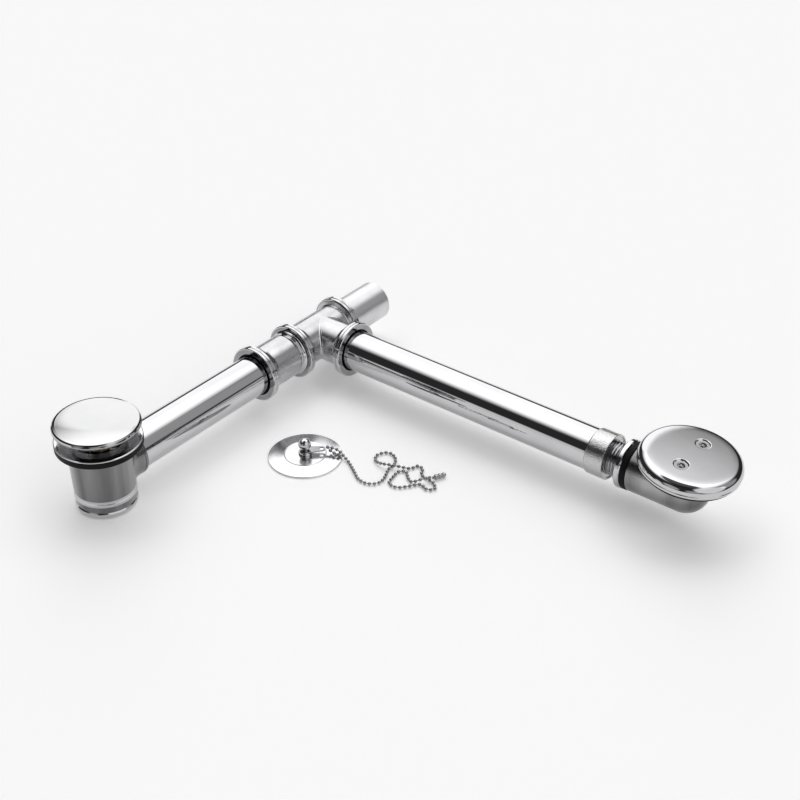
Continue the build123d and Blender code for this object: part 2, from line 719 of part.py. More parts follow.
with BuildPart() as overflow_sleeve:
    with BuildSketch(pipe_section(TO_OVERFLOW)):
        with BuildLine():
            Polyline(
                (SOCKET_R, SLEEVE_AT),
                (SLEEVE_R - SLEEVE_CHAMFER, SLEEVE_AT),
                (SLEEVE_R, SLEEVE_AT + SLEEVE_CHAMFER),
                (SLEEVE_R, SLEEVE_END),
                (SLEEVE_R - SLEEVE_RIM, SLEEVE_END),
                (SLEEVE_R - SLEEVE_RIM, SLEEVE_FACE),
                (NECK_HOLE_R, SLEEVE_FACE),
                (NECK_HOLE_R, SLEEVE_WALL_AT),
                (WATER_R, SLEEVE_WALL_AT),
                (WATER_R, SLEEVE_SEAT),
                (SOCKET_R, SLEEVE_SEAT),
                close=True,
            )
        make_face()
    revolve(axis=pipe_axis(TO_OVERFLOW))
overflow_sleeve.part.label = "overflow_sleeve"
export_step(overflow_sleeve.part, "parts/overflow_sleeve.step")

# Threaded neck between the sleeve and the elbow, with its ridges in the open stretch
COLLAR_AT = OVERFLOW_REACH - COLLAR_BACK
RING_AT = COLLAR_AT + COLLAR_LENGTH
ELBOW_AT = RING_AT + RING_LENGTH
NECK_END = ELBOW_AT + NECK_ENGAGE
NECK_ROOT_R = NECK_R - NECK_THREAD
RIDGES_FROM = (SLEEVE_FACE + COLLAR_AT - NECK_RIDGES * NECK_PITCH) / 2
ridge_points = []
for ridge in range(NECK_RIDGES):
    ridge_at = RIDGES_FROM + ridge * NECK_PITCH
    ridge_points += [
        (NECK_ROOT_R, ridge_at),
        (NECK_R, ridge_at + NECK_PITCH * 0.3),
        (NECK_R, ridge_at + NECK_PITCH * 0.7),
    ]

with BuildPart() as overflow_neck:
    with BuildSketch(pipe_section(TO_OVERFLOW)):
        with BuildLine():
            Polyline(
                (NECK_R - NECK_WALL, SLEEVE_WALL_AT),
                (NECK_R, SLEEVE_WALL_AT),
                (NECK_R, SLEEVE_FACE),
                *ridge_points,
                (NECK_ROOT_R, RIDGES_FROM + NECK_RIDGES * NECK_PITCH),
                (NECK_R, COLLAR_AT),
                (NECK_R, NECK_END),
                (NECK_R - NECK_WALL, NECK_END),
                close=True,
            )
        make_face()
    revolve(axis=pipe_axis(TO_OVERFLOW))
overflow_neck.part.label = "overflow_neck"
export_step(overflow_neck.part, "parts/overflow_neck.step")

# Lock collar on the neck
with BuildPart() as elbow_collar:
    with BuildSketch(pipe_section(TO_OVERFLOW)):
        with BuildLine():
            Polyline(
                (NECK_HOLE_R, COLLAR_AT),
                (COLLAR_R - COLLAR_CHAMFER, COLLAR_AT),
                (COLLAR_R, COLLAR_AT + COLLAR_CHAMFER),
                (COLLAR_R, RING_AT - COLLAR_CHAMFER),
                (COLLAR_R - COLLAR_CHAMFER, RING_AT),
                (NECK_HOLE_R, RING_AT),
                close=True,
            )
        make_face()
    revolve(axis=pipe_axis(TO_OVERFLOW))
elbow_collar.part.label = "elbow_collar"
export_step(elbow_collar.part, "parts/elbow_collar.step")

# Rubber ring squeezed between the collar and the elbow
with BuildPart() as elbow_ring:
    with BuildSketch(pipe_plane(TO_OVERFLOW, RING_AT)):
        Circle(RING_R)
        Circle(NECK_HOLE_R, mode=Mode.SUBTRACT)
    extrude(amount=RING_LENGTH)
elbow_ring.part.label = "elbow_ring"
export_step(elbow_ring.part, "parts/elbow_ring.step")

# Overflow elbow: a round-cornered cast bend with a canted flange
HEAD_NORMAL = Vector(sin(radians(CANT)), 0, cos(radians(CANT)))
ELBOW_CORNER = TEE + TO_OVERFLOW * OVERFLOW_REACH
HEAD_CENTRE = ELBOW_CORNER + UP * FACE_RISE
HEAD = Plane(origin=HEAD_CENTRE, x_dir=(cos(radians(CANT)), 0, -sin(radians(CANT))), z_dir=HEAD_NORMAL)
HEAD_SECTION = Plane(origin=HEAD_CENTRE, x_dir=HEAD.x_dir, z_dir=HEAD.x_dir.cross(HEAD_NORMAL))
HEAD_AXIS = Axis(HEAD_CENTRE, HEAD_NORMAL)
SCREW_HOLE_R = SCREW_R + SCREW_GAP
BELL_START = FACE_RISE - WATER_R / 2

with BuildPart() as overflow_elbow:
    with BuildSketch(pipe_plane(TO_OVERFLOW, ELBOW_AT)):
        Circle(FITTING_R)
    extrude(amount=OVERFLOW_REACH - ELBOW_AT)
    with Locations(ELBOW_CORNER):
        Sphere(FITTING_R)
    with BuildSketch(HEAD_SECTION):
        with BuildLine():
            Polyline(
                (0, -FACE_RISE),
                (FITTING_R, -FACE_RISE),
                (FITTING_R, -HEAD_MOUTH - HEAD_BELL / 2),
                (HEAD_BELL_R, -HEAD_BELL),
                (HEAD_FLANGE_R, -HEAD_FLANGE),
                (HEAD_FLANGE_R, 0),
                (0, 0),
                close=True,
            )
        make_face()
    revolve(axis=HEAD_AXIS)
    split(bisect_by=HEAD, keep=Keep.BOTTOM)
    with BuildSketch(pipe_plane(TO_OVERFLOW, ELBOW_AT)):
        Circle(NECK_HOLE_R)
    extrude(amount=OVERFLOW_REACH - ELBOW_AT, mode=Mode.SUBTRACT)
    with BuildSketch(pipe_plane(TO_OVERFLOW, NECK_END)):
        Circle(WATER_R)
    extrude(amount=OVERFLOW_REACH - NECK_END, mode=Mode.SUBTRACT)
    with Locations(ELBOW_CORNER):
        Sphere(WATER_R, mode=Mode.SUBTRACT)
    with BuildSketch(HEAD):
        Circle(HEAD_MOUTH_R)
    extrude(amount=-FACE_RISE, mode=Mode.SUBTRACT)
    with BuildSketch(HEAD):
        with Locations((0, SCREW_SPAN / 2), (0, -SCREW_SPAN / 2)):
            Circle(SCREW_HOLE_R)
    extrude(amount=-SCREW_ENGAGE - SCREW_R, mode=Mode.SUBTRACT)
overflow_elbow.part.label = "overflow_elbow"
export_step(overflow_elbow.part, "parts/overflow_elbow.step")

# Rubber gasket on the elbow's flange
with BuildPart() as overflow_gasket:
    with BuildSketch(HEAD):
        Circle(GASKET_R)
        Circle(GASKET_BORE_R, mode=Mode.SUBTRACT)
    extrude(amount=GASKET_THICK)
overflow_gasket.part.label = "overflow_gasket"
export_step(overflow_gasket.part, "parts/overflow_gasket.step")

# Overflow plate: a pressed dish with a bullnose rim, dimples for two screws and an inlet notch
PLATE_FACE = GASKET_THICK + PLATE_HEIGHT
PLATE_FLAT_R = PLATE_R - PLATE_ROUND
LIP_R = PLATE_R - PLATE_TUCK / 2
WAIST_R = PLATE_R - PLATE_TUCK
INNER_ROUND = PLATE_ROUND - PLATE_SHEET
DIMPLE_FLOOR = PLATE_FACE - DIMPLE_DEPTH
DIMPLE_FLOOR_R = SCREW_HEAD_R + SCREW_GAP

with BuildPart() as overflow_plate:
    with BuildSketch(HEAD_SECTION):
        with BuildLine():
            face = Line((0, PLATE_FACE), (PLATE_FLAT_R, PLATE_FACE))
            nose = TangentArc(face @ 1, (PLATE_R, PLATE_FACE - PLATE_ROUND), tangent=(1, 0))
            skirt = Polyline(
                nose @ 1,
                (WAIST_R, GASKET_THICK + PLATE_LIP * 1.4),
                (LIP_R, GASKET_THICK + PLATE_LIP),
                (LIP_R, GASKET_THICK + PLATE_LIP / 4),
                (WAIST_R, GASKET_THICK),
                (WAIST_R - PLATE_SHEET, GASKET_THICK),
                (PLATE_FLAT_R + INNER_ROUND - PLATE_TUCK, PLATE_FACE - PLATE_ROUND),
            )
            inner_nose = TangentArc(
                (PLATE_FLAT_R - PLATE_TUCK, PLATE_FACE - PLATE_SHEET), skirt @ 1, tangent=(1, 0)
            )
            Polyline(inner_nose @ 0, (0, PLATE_FACE - PLATE_SHEET), (0, PLATE_FACE))
        make_face()
    revolve(axis=HEAD_AXIS)
    with Locations(HEAD.offset(DIMPLE_FLOOR - PLATE_SHEET)):
        with Locations((0, SCREW_SPAN / 2), (0, -SCREW_SPAN / 2)):
            Cone(
                DIMPLE_FLOOR_R + PLATE_SHEET,
                DIMPLE_R + PLATE_SHEET,
                DIMPLE_DEPTH + PLATE_SHEET,
                align=(Align.CENTER, Align.CENTER, Align.MIN),
            )
    with Locations(HEAD.offset(DIMPLE_FLOOR)):
        with Locations((0, SCREW_SPAN / 2), (0, -SCREW_SPAN / 2)):
            Cone(
                DIMPLE_FLOOR_R,
                DIMPLE_R,
                DIMPLE_DEPTH,
                align=(Align.CENTER, Align.CENTER, Align.MIN),
                mode=Mode.SUBTRACT,
            )
    with BuildSketch(HEAD.offset(DIMPLE_FLOOR)):
        with Locations((0, SCREW_SPAN / 2), (0, -SCREW_SPAN / 2)):
            Circle(SCREW_HOLE_R)
    extrude(amount=-2 * PLATE_SHEET, mode=Mode.SUBTRACT)
    with BuildSketch(HEAD.offset(GASKET_THICK)):
        with Locations((-PLATE_R, 0)):
            Rectangle(PLATE_R, NOTCH_WIDTH)
    extrude(amount=NOTCH_HEIGHT, mode=Mode.SUBTRACT)
overflow_plate.part.label = "overflow_plate"
export_step(overflow_plate.part, "parts/overflow_plate.step")

# Two cross-head screws that pull the plate onto the elbow's flange
SCREW_HEAD_TOP = DIMPLE_FLOOR + SCREW_HEAD

with BuildPart() as plate_screws:
    with Locations(HEAD.offset(-SCREW_ENGAGE)):
        with Locations((0, SCREW_SPAN / 2), (0, -SCREW_SPAN / 2)):
            Cylinder(
                SCREW_R,
                SCREW_ENGAGE + DIMPLE_FLOOR,
                align=(Align.CENTER, Align.CENTER, Align.MIN),
            )
    with Locations(HEAD.offset(DIMPLE_FLOOR)):
        with Locations((0, SCREW_SPAN / 2), (0, -SCREW_SPAN / 2)):
            Cone(
                SCREW_HEAD_R,
                SCREW_HEAD_R * 0.7,
                SCREW_HEAD,
                align=(Align.CENTER, Align.CENTER, Align.MIN),
            )
    with Locations(HEAD.offset(SCREW_HEAD_TOP)):
        with Locations((0, SCREW_SPAN / 2), (0, -SCREW_SPAN / 2)):
            Box(SCREW_HEAD_R, SCREW_SLOT, SCREW_SLOT * 2, rotation=(0, 0, 35), mode=Mode.SUBTRACT)
            Box(SCREW_SLOT, SCREW_HEAD_R, SCREW_SLOT * 2, rotation=(0, 0, 35), mode=Mode.SUBTRACT)
plate_screws.part.label = "plate_screws"
export_step(plate_screws.part, "parts/plate_screws.step")

# Loose plug beside the set: a shallow stepped disc
PLUG_SECTION = Plane(origin=(PLUG_X, PLUG_Y, 0), x_dir=(1, 0, 0), z_dir=(0, -1, 0))
PLUG_AXIS = Axis((PLUG_X, PLUG_Y, 0), UP)
PLUG_TOP = PLUG_SEAL + PLUG_RISE
PLUG_STEP_TOP = PLUG_TOP - PLUG_STEP

with BuildPart() as plug_disc:
    with BuildSketch(PLUG_SECTION):
        with BuildLine():
            Polyline(
                (KNOB_STUD_R + SLIP, PLUG_SEAL),
                (PLUG_SEAL_R + PLUG_SEAL, PLUG_SEAL),
                (PLUG_R - PLUG_SKIN / 2, PLUG_SKIN / 2),
                (PLUG_R, PLUG_SKIN),
                (PLUG_R - PLUG_SKIN / 3, PLUG_SKIN * 1.5),
                (PLUG_STEP_R, PLUG_STEP_TOP),
                (PLUG_STEP_R - PLUG_STEP, PLUG_STEP_TOP - PLUG_STEP / 2),
                (PLUG_STEP_R - PLUG_STEP * 2, PLUG_STEP_TOP + PLUG_STEP / 2),
                (KNOB_STUD_R + SLIP, PLUG_TOP),
                close=True,
            )
        make_face()
    revolve(axis=PLUG_AXIS)
plug_disc.part.label = "plug_disc"
export_step(plug_disc.part, "parts/plug_disc.step")

# Rubber ring under the plug
with BuildPart() as plug_seal:
    with BuildSketch(Plane.XY):
        with Locations((PLUG_X, PLUG_Y)):
            Circle(PLUG_SEAL_R)
            Circle(PLUG_SEAL_BORE_R, mode=Mode.SUBTRACT)
    extrude(amount=PLUG_SEAL)
plug_seal.part.label = "plug_seal"
export_step(plug_seal.part, "parts/plug_seal.step")

# Ball knob on a stepped collar, with a stud riveted through the disc
WAIST_Z = PLUG_TOP + KNOB_COLLAR
HASP_Z = WAIST_Z + KNOB_COLLAR / 2
NECK_TOP = HASP_Z + KNOB_NECK
BALL_Z = NECK_TOP + (KNOB_BALL_R**2 - KNOB_NECK_R**2) ** 0.5

with BuildPart() as plug_knob:
    with BuildSketch(PLUG_SECTION):
        with BuildLine():
            stem = Polyline(
                (0, PLUG_SEAL),
                (KNOB_STUD_R, PLUG_SEAL),
                (KNOB_STUD_R, PLUG_TOP),
                (KNOB_COLLAR_R, PLUG_TOP),
                (KNOB_COLLAR_R, WAIST_Z),
                (KNOB_WAIST_R, WAIST_Z),
                (KNOB_WAIST_R, HASP_Z),
                (KNOB_NECK_R, HASP_Z),
                (KNOB_NECK_R, NECK_TOP),
            )
            ball = ThreePointArc(
                stem @ 1, (KNOB_BALL_R, BALL_Z), (0, BALL_Z + KNOB_BALL_R)
            )
            Line(ball @ 1, stem @ 0)
        make_face()
    revolve(axis=PLUG_AXIS)
plug_knob.part.label = "plug_knob"
export_step(plug_knob.part, "parts/plug_knob.step")

# Hasp: a flat teardrop link round the knob's neck, with an eye for the chain
HASP_PLANE = Plane(origin=(PLUG_X, PLUG_Y, HASP_Z)).rotated((0, 0, HASP_HEADING))

with BuildPart() as plug_hasp:
    with BuildSketch(HASP_PLANE):
        with Locations((0, 0)):
            Circle(KNOB_NECK_R + HASP_RIM)
        with Locations((HASP_REACH, 0)):
            Circle(HASP_EYE_R + HASP_EYE_RIM)
        make_hull()
        with Locations((0, 0)):
            Circle(KNOB_NECK_R + SLIP, mode=Mode.SUBTRACT)
        with Locations((HASP_REACH, 0)):
            Circle(HASP_EYE_R, mode=Mode.SUBTRACT)
    extrude(amount=HASP_THICK)
plug_hasp.part.label = "plug_hasp"
export_step(plug_hasp.part, "parts/plug_hasp.step")

# Bead chain: its route over the plug and along the floor, then beads on a wire
LIE = BEAD_R
OVER = BEAD_R * 3.2
LINK_LENGTH = BEAD_PITCH * 1.2
HOOK_REACH = HASP_REACH + HASP_EYE_R + HASP_EYE_RIM + BEAD_R + BEAD_GAP - BEAD_PITCH
HOOK = HASP_PLANE.origin + HASP_PLANE.x_dir * HOOK_REACH + UP * (HASP_THICK + LINK_R + BEAD_GAP)
HOOK_OUT = HOOK + HASP_PLANE.x_dir * BEAD_PITCH
CHAIN_ROUTE = [
    HOOK,
    HOOK_OUT,
    (108.5, 170, 6.6),
    (113, 171.5, 5.2),
    (119, 170, 3.6),
    (128, 167, LIE),
    (141, 159, LIE),
    (150, 153.5, LIE),
    (160, 153, LIE),
    (167, 159, LIE),
    (167, 168, LIE),
    (162, 180, LIE),
    (161, 190, LIE),
    (155, 198, LIE),
    (146, 200, LIE),
    (140.5, 192, LIE),
    (144, 184, LIE),
    (152, 181, OVER * 0.7),
    (160, 182, OVER),
    (168, 188, OVER * 0.6),
    (176, 193, LIE),
    (179, 200, LIE),
    (185, 199, LIE),
    (190, 191.5, LIE),
    (198, 190, LIE),
    (206, 188, LIE),
    (211, 182, LIE),
    (205, 178, LIE),
    (197, 180, LIE),
    (191, 172, LIE),
    (184, 164.5, LIE),
    (175, 165, LIE),
    (172, 174, LIE),
    (171, 183, LIE),
    (176, 187, LIE),
    (183, 181, LIE),
    (189, 178.5, LIE),
    (194, 182, OVER * 0.7),
    (198.5, 187, OVER),
    (201.5, 193.5, OVER * 0.6),
]
LOWER_STRAND = [
    HOOK,
    HOOK_OUT,
    (109, 165.5, 6.2),
    (113.5, 166.5, 5.0),
    (119, 170, 3.6),
]


def along(points):
    """Evenly spaced bead places on a smooth line through the points, each facing along it."""
    with BuildLine(mode=Mode.PRIVATE) as route:
        Spline(*points)
    line = route.line.edge()
    count = round(line.length / BEAD_PITCH)
    places = []
    for bead in range(count + 1):
        share = bead / count
        places.append(Plane(origin=line @ share, z_dir=line % share).location)
    return places


with BuildPart() as bead:
    with BuildSketch(Plane.XY.offset(-BEAD_LENGTH / 2)):
        RegularPolygon(BEAD_R, BEAD_SIDES)
    extrude(amount=BEAD_LENGTH)
    ends = bead.faces().filter_by(Axis.Z)
    chamfer(ends.edges(), length=BEAD_CHAMFER)
    with BuildSketch(Plane.XY.offset(-LINK_LENGTH / 2)):
        RegularPolygon(LINK_R, 4)
    extrude(amount=LINK_LENGTH)

with BuildPart() as bead_chain:
    for strand in (along(CHAIN_ROUTE)[1:-1], along(LOWER_STRAND)[2:-1]):
        with Locations(*strand):
            add(bead.part)
bead_chain.part.label = "bead_chain"
export_step(bead_chain.part, "parts/bead_chain.step")

# Ribbed end fitting that hooks the chain to the overflow
TIP_FROM = Vector(*CHAIN_ROUTE[-1])
TIP_TO = Vector(207.5, 206, TIP_R)
TIP_DIR = (TIP_TO - TIP_FROM).normalized()
TIP_SECTION = Plane(origin=TIP_FROM, x_dir=UP.cross(TIP_DIR), z_dir=UP.cross(TIP_DIR).cross(TIP_DIR))
TIP_START = LINK_LENGTH / 2 - BEAD_PITCH + BEAD_GAP
RIB_LENGTH = TIP_LENGTH / (2 * TIP_RIBS + 1)
rib_points = []
for rib in range(TIP_RIBS):
    rib_at = TIP_START + (2 * rib + 1) * RIB_LENGTH
    rib_points += [
        (TIP_R * 0.75, rib_at),
        (TIP_R, rib_at + RIB_LENGTH * 0.3),
        (TIP_R, rib_at + RIB_LENGTH * 1.2),
        (TIP_R * 0.75, rib_at + RIB_LENGTH * 1.5),
    ]

with BuildPart() as chain_tip:
    with BuildSketch(TIP_SECTION):
        with BuildLine():
            Polyline(
                (0, TIP_START),
                (TIP_R * 0.5, TIP_START),
                *rib_points,
                (TIP_R * 0.6, TIP_START + TIP_LENGTH),
                (0, TIP_START + TIP_LENGTH),
                close=True,
            )
        make_face()
    revolve(axis=Axis(TIP_FROM, TIP_DIR))
chain_tip.part.label = "chain_tip"
export_step(chain_tip.part, "parts/chain_tip.step")
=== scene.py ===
# %% [markdown]
# # A chromed bath waste and overflow set
# The set lies flat on a pale table: a pop-up waste stands at one end, a tee with a tail pipe sits at the
# corner, and a long tube leads to the overflow head with its round plate. A loose plug on a bead chain
# lies in the angle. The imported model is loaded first, because every piece below stands for one of its nodes.

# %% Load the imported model
import math

import bpy
import numpy as np
from mathutils import Matrix


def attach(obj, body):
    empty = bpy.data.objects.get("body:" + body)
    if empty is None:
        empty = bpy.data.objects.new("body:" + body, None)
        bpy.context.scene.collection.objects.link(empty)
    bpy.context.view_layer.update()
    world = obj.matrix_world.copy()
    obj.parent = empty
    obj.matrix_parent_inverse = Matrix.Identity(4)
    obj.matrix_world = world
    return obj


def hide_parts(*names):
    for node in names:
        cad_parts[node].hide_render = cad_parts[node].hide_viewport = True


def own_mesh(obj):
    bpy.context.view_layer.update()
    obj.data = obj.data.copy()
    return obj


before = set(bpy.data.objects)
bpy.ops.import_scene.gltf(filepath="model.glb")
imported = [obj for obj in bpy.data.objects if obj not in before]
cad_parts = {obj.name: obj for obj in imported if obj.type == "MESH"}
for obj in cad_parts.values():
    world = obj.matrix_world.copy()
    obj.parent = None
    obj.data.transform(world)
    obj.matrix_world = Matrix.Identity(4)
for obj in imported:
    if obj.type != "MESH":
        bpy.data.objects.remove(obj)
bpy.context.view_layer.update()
bpy.context.scene.view_settings.view_transform = "Standard"

# %% [markdown]
# The camera is a plain perspective camera. Its place and its three directions were worked out from the
# photograph's vanishing lines and the standard tube size, so the set falls where the photograph shows it.

# %% Camera
CAMERA_AT = (0.82695, -0.62935, 0.76642)
CAMERA_RIGHT = (0.78262, 0.62245, -0.00844)
CAMERA_UP = (-0.33763, 0.43583, 0.83430)
CAMERA_BACK = (0.52298, -0.65008, 0.55125)

camera_lens = bpy.data.cameras.new("table_camera")
camera_lens.sensor_width = 36.0
camera_lens.lens = 66.80
camera_lens.clip_start = 0.01
camera_lens.clip_end = 60.0
camera = bpy.data.objects.new("table_camera", camera_lens)
bpy.context.collection.objects.link(camera)
camera_columns = np.array([CAMERA_RIGHT, CAMERA_UP, CAMERA_BACK, CAMERA_AT]).T
camera.matrix_world = Matrix(camera_columns.tolist() + [[0.0, 0.0, 0.0, 1.0]])
bpy.context.scene.camera = camera
print("camera", CAMERA_AT, "lens", camera_lens.lens)

# %% [markdown]
# Nearly every part of the set was turned on a lathe, so one helper does most of the work. A profile is drawn
# as straight runs with a small round at each corner, because plated metal never has a razor edge and the
# rounds catch the light. The profile carries its own normals, so a mirror finish stays free of facets.

# %% Profile helpers
MM = 0.001
UP = np.array([0.0, 0.0, 1.0])
LEAST_ROUND, FAN_STEP, LEAST_LENGTH = 0.03, 0.14, 1e-12


def unit(vectors):
    """Vectors, along the last axis, divided by their own lengths."""
    vectors = np.asarray(vectors, float)
    return vectors / np.maximum(np.linalg.norm(vectors, axis=-1, keepdims=True), LEAST_LENGTH)


def rounded(*corners):
    """Profile of straight runs whose corners are rounded.

    A corner is (radius, height, round). The outside lies to the right of the way along the profile.
    A round of size s starts s * tan(turn / 2) before its corner, and its normals turn evenly through
    the angle between the two runs, in steps of at most FAN_STEP. Gives points and normals, both as rows
    of (radius, height).
    """
    table = np.array(corners, float)
    place, size = table[:, :2], np.maximum(table[:, 2], LEAST_ROUND)
    way = unit(np.diff(place, axis=0))
    out = np.stack([way[:, 1], -way[:, 0]], axis=1)
    points, normals = [place[:1]], [out[:1]]
    for k in range(1, len(place) - 1):
        turn = math.atan2(way[k - 1, 0] * way[k, 1] - way[k - 1, 1] * way[k, 0], way[k - 1] @ way[k])
        angle = np.linspace(0.0, turn, max(3, int(abs(turn) / FAN_STEP) + 2))
        first = out[k - 1]
        fan = np.stack(
            [
                first[0] * np.cos(angle) - first[1] * np.sin(angle),
                first[0] * np.sin(angle) + first[1] * np.cos(angle),
            ],
            axis=1,
        )
        bend = np.sign(turn) * size[k]
        start = place[k] - way[k - 1] * size[k] * math.tan(abs(turn) / 2)
        points.append(start - bend * first + bend * fan)
        normals.append(fan)
    points.append(place[-1:])
    normals.append(out[-1:])
    return np.concatenate(points), np.concatenate(normals)


def looped(first, *others):
    """Profile of straight runs that ends where it starts."""
    return rounded(first, *others, first)


def bowl_of(radius, height, from_angle, to_angle, steps):
    """Round profile: radius * sin(angle) out and height + radius * cos(angle) up, with the same normals."""
    angle = np.radians(np.linspace(from_angle, to_angle, steps))
    normal = np.stack([np.sin(angle), np.cos(angle)], axis=1)
    return normal * radius + [0.0, height], normal


def joined(*profiles):
    """Profiles one after the other, as one."""
    return tuple(np.concatenate(part) for part in zip(*profiles))


print("profile helpers ready")

# %% [markdown]
# A surface here is a grid of points with a normal at each, and the faces that join them. A turned piece is
# its profile carried round an axis. Where the profile meets the axis, the ring shrinks to a single point.

# %% Surface helpers
ON_AXIS = 1e-9


def circle(count):
    """Even angles round a whole turn, which ends one step before it closes."""
    return np.linspace(0, 2 * np.pi, count, endpoint=False)


def grid_faces(rows, columns, closed):
    """Quads of a grid, counted row by row; a closed grid joins its last column to its first."""
    row, column = np.meshgrid(
        np.arange(rows - 1), np.arange(columns if closed else columns - 1), indexing="ij"
    )
    after = (column + 1) % columns
    here, beyond = row * columns, (row + 1) * columns
    corners = [here + column, here + after, beyond + after, beyond + column]
    return np.stack(corners, axis=-1).reshape(-1, 4)


def turned(profile, origin, axis, across, sweep=None, segments=168):
    """Profile carried round an axis: origin + radius * (cos a * e1 + sin a * e2) + height * e3.

    e3 is the axis, e1 the part of across that is square to it, and e2 is e3 x e1. sweep is a range of
    angles in degrees, and None is a whole turn.
    """
    points, normals = profile
    e3 = unit(axis)
    e1 = unit(across - np.dot(across, e3) * e3)
    e2 = np.cross(e3, e1)
    closed = sweep is None
    angle = circle(segments) if closed else np.radians(np.linspace(*sweep, segments))
    ray = np.cos(angle)[:, None] * e1 + np.sin(angle)[:, None] * e2
    start, end = points[0, 0] < ON_AXIS, points[-1, 0] < ON_AXIS
    body = slice(1 if start else 0, len(points) - 1 if end else len(points))
    ring, lean = points[body], normals[body]
    grid = origin + ring[:, None, :1] * ray[None] + ring[:, None, 1:] * e3
    facing = lean[:, None, :1] * ray[None] + lean[:, None, 1:] * e3
    rows = [grid.reshape(-1, 3)]
    ways = [facing.reshape(-1, 3)]
    faces = grid_faces(len(ring), segments, closed).tolist()
    here = np.arange(segments)
    after = np.roll(here, -1)
    if start:
        tip = len(ring) * segments
        rows.append((origin + points[0, 1] * e3)[None])
        ways.append(-e3[None])
        faces += np.stack([np.full(segments, tip), after, here], axis=1).tolist()
    if end:
        tip = sum(len(part) for part in rows)
        rows.append((origin + points[-1, 1] * e3)[None])
        ways.append(e3[None])
        last = (len(ring) - 1) * segments
        faces += np.stack([last + here, last + after, np.full(segments, tip)], axis=1).tolist()
    return np.concatenate(rows), np.concatenate(ways), faces


def as_rows(points, normals, faces):
    """Surface whose points and normals are put into rows of three."""
    return points.reshape(-1, 3), normals.reshape(-1, 3), faces


def sheet_of(grid):
    """Surface from a closed grid of points (rows, columns, 3), with normals from its own slopes."""
    along = np.gradient(grid, axis=0)
    around = (np.roll(grid, -1, axis=1) - np.roll(grid, 1, axis=1)) / 2
    return as_rows(grid, unit(np.cross(around, along)), grid_faces(*grid.shape[:2], True).tolist())


def make_piece(name, surfaces, finish, nodes, body="drain"):
    """One object from several surfaces in millimetres, riding on a body in place of its nodes.

    A surface may carry a finish of its own after its points, normals and faces.
    """
    points = np.concatenate([part[0] for part in surfaces]) * MM
    normals = np.concatenate([part[1] for part in surfaces])
    finishes, faces, chosen, count = [finish], [], [], 0
    for part in surfaces:
        own = part[3] if len(part) > 3 else finish
        if own not in finishes:
            finishes.append(own)
        chosen += [finishes.index(own)] * len(part[2])
        faces += [[count + corner for corner in face] for face in part[2]]
        count += len(part[0])
    mesh = bpy.data.meshes.new(name)
    mesh.from_pydata(points.tolist(), [], faces)
    mesh.polygons.foreach_set("use_smooth", np.ones(len(faces), bool))
    mesh.normals_split_custom_set_from_vertices(normals.tolist())
    for used in finishes:
        mesh.materials.append(used)
    mesh.polygons.foreach_set("material_index", np.array(chosen, np.int32))
    piece = bpy.data.objects.new(name, mesh)
    bpy.context.collection.objects.link(piece)
    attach(piece, body)
    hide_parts(*nodes)
    return piece


print("surface helpers ready")

# %% [markdown]
# The finishes share two effects, so each is a node group. The first mixes a bright and a dull colour and moves
# the roughness between two values: on most finishes it is the soft bloom that plated metal picks up from
# handling, and on the cast pieces it carries painted dark reflections. Its noise can be stretched along an
# axis, so that it turns into upright streaks, which on the cast pieces paint reflected stripes. The second is
# relief, fine or broad, which is put out as a height for a bump.

# %% Shared shader groups
def new_group(name, inputs, outputs):
    """Empty shader group with sockets of a name and a kind, its input and output nodes in place."""
    group = bpy.data.node_groups.new(name, "ShaderNodeTree")
    for side, sockets in (("INPUT", inputs), ("OUTPUT", outputs)):
        for label, kind in sockets.items():
            group.interface.new_socket(label, in_out=side, socket_type="NodeSocket" + kind)
    return group, group.nodes.new("NodeGroupInput"), group.nodes.new("NodeGroupOutput")


def noise_on_object(tree, scale_from, detail, stretch_from=None):
    """Noise on Object coordinates, times a stretch if one is given; its scale comes from a socket."""
    spot = tree.nodes.new("ShaderNodeTexCoord").outputs["Object"]
    if stretch_from:
        stretched = tree.nodes.new("ShaderNodeVectorMath")
        stretched.operation = "MULTIPLY"
        tree.links.new(spot, stretched.inputs[0])
        tree.links.new(stretch_from, stretched.inputs[1])
        spot = stretched.outputs["Vector"]
    noise = tree.nodes.new("ShaderNodeTexNoise")
    noise.inputs["Detail"].default_value = detail
    tree.links.new(spot, noise.inputs["Vector"])
    tree.links.new(scale_from, noise.inputs["Scale"])
    return noise


BLOOM_FROM, BLOOM_TO = 0.36, 0.68
BLOOM_DETAIL, RELIEF_DETAIL = 6.0, 3.0
bloom, bloom_in, bloom_out = new_group(
    "handling_bloom_and_painted_streaks",
    {
        "Bright": "Color", "Dull": "Color", "Scale": "Float", "Smooth": "Float", "Rough": "Float",
        "Stretch": "Vector",
    },
    {"Color": "Color", "Roughness": "Float"},
)
bloom_noise = noise_on_object(bloom, bloom_in.outputs["Scale"], BLOOM_DETAIL, bloom_in.outputs["Stretch"])
bloom_and_streak_mask = bloom.nodes.new("ShaderNodeMapRange")
bloom_and_streak_mask.inputs["From Min"].default_value = BLOOM_FROM
bloom_and_streak_mask.inputs["From Max"].default_value = BLOOM_TO
bloom.links.new(bloom_noise.outputs["Fac"], bloom_and_streak_mask.inputs["Value"])
bloom_mix = bloom.nodes.new("ShaderNodeMix")
bloom_mix.data_type = "RGBA"
bloom.links.new(bloom_and_streak_mask.outputs["Result"], bloom_mix.inputs["Factor"])
bloom.links.new(bloom_in.outputs["Bright"], bloom_mix.inputs[6])
bloom.links.new(bloom_in.outputs["Dull"], bloom_mix.inputs[7])
bloom.links.new(bloom_mix.outputs[2], bloom_out.inputs["Color"])
bloom_rough = bloom.nodes.new("ShaderNodeMapRange")
bloom.links.new(bloom_and_streak_mask.outputs["Result"], bloom_rough.inputs["Value"])
bloom.links.new(bloom_in.outputs["Smooth"], bloom_rough.inputs["To Min"])
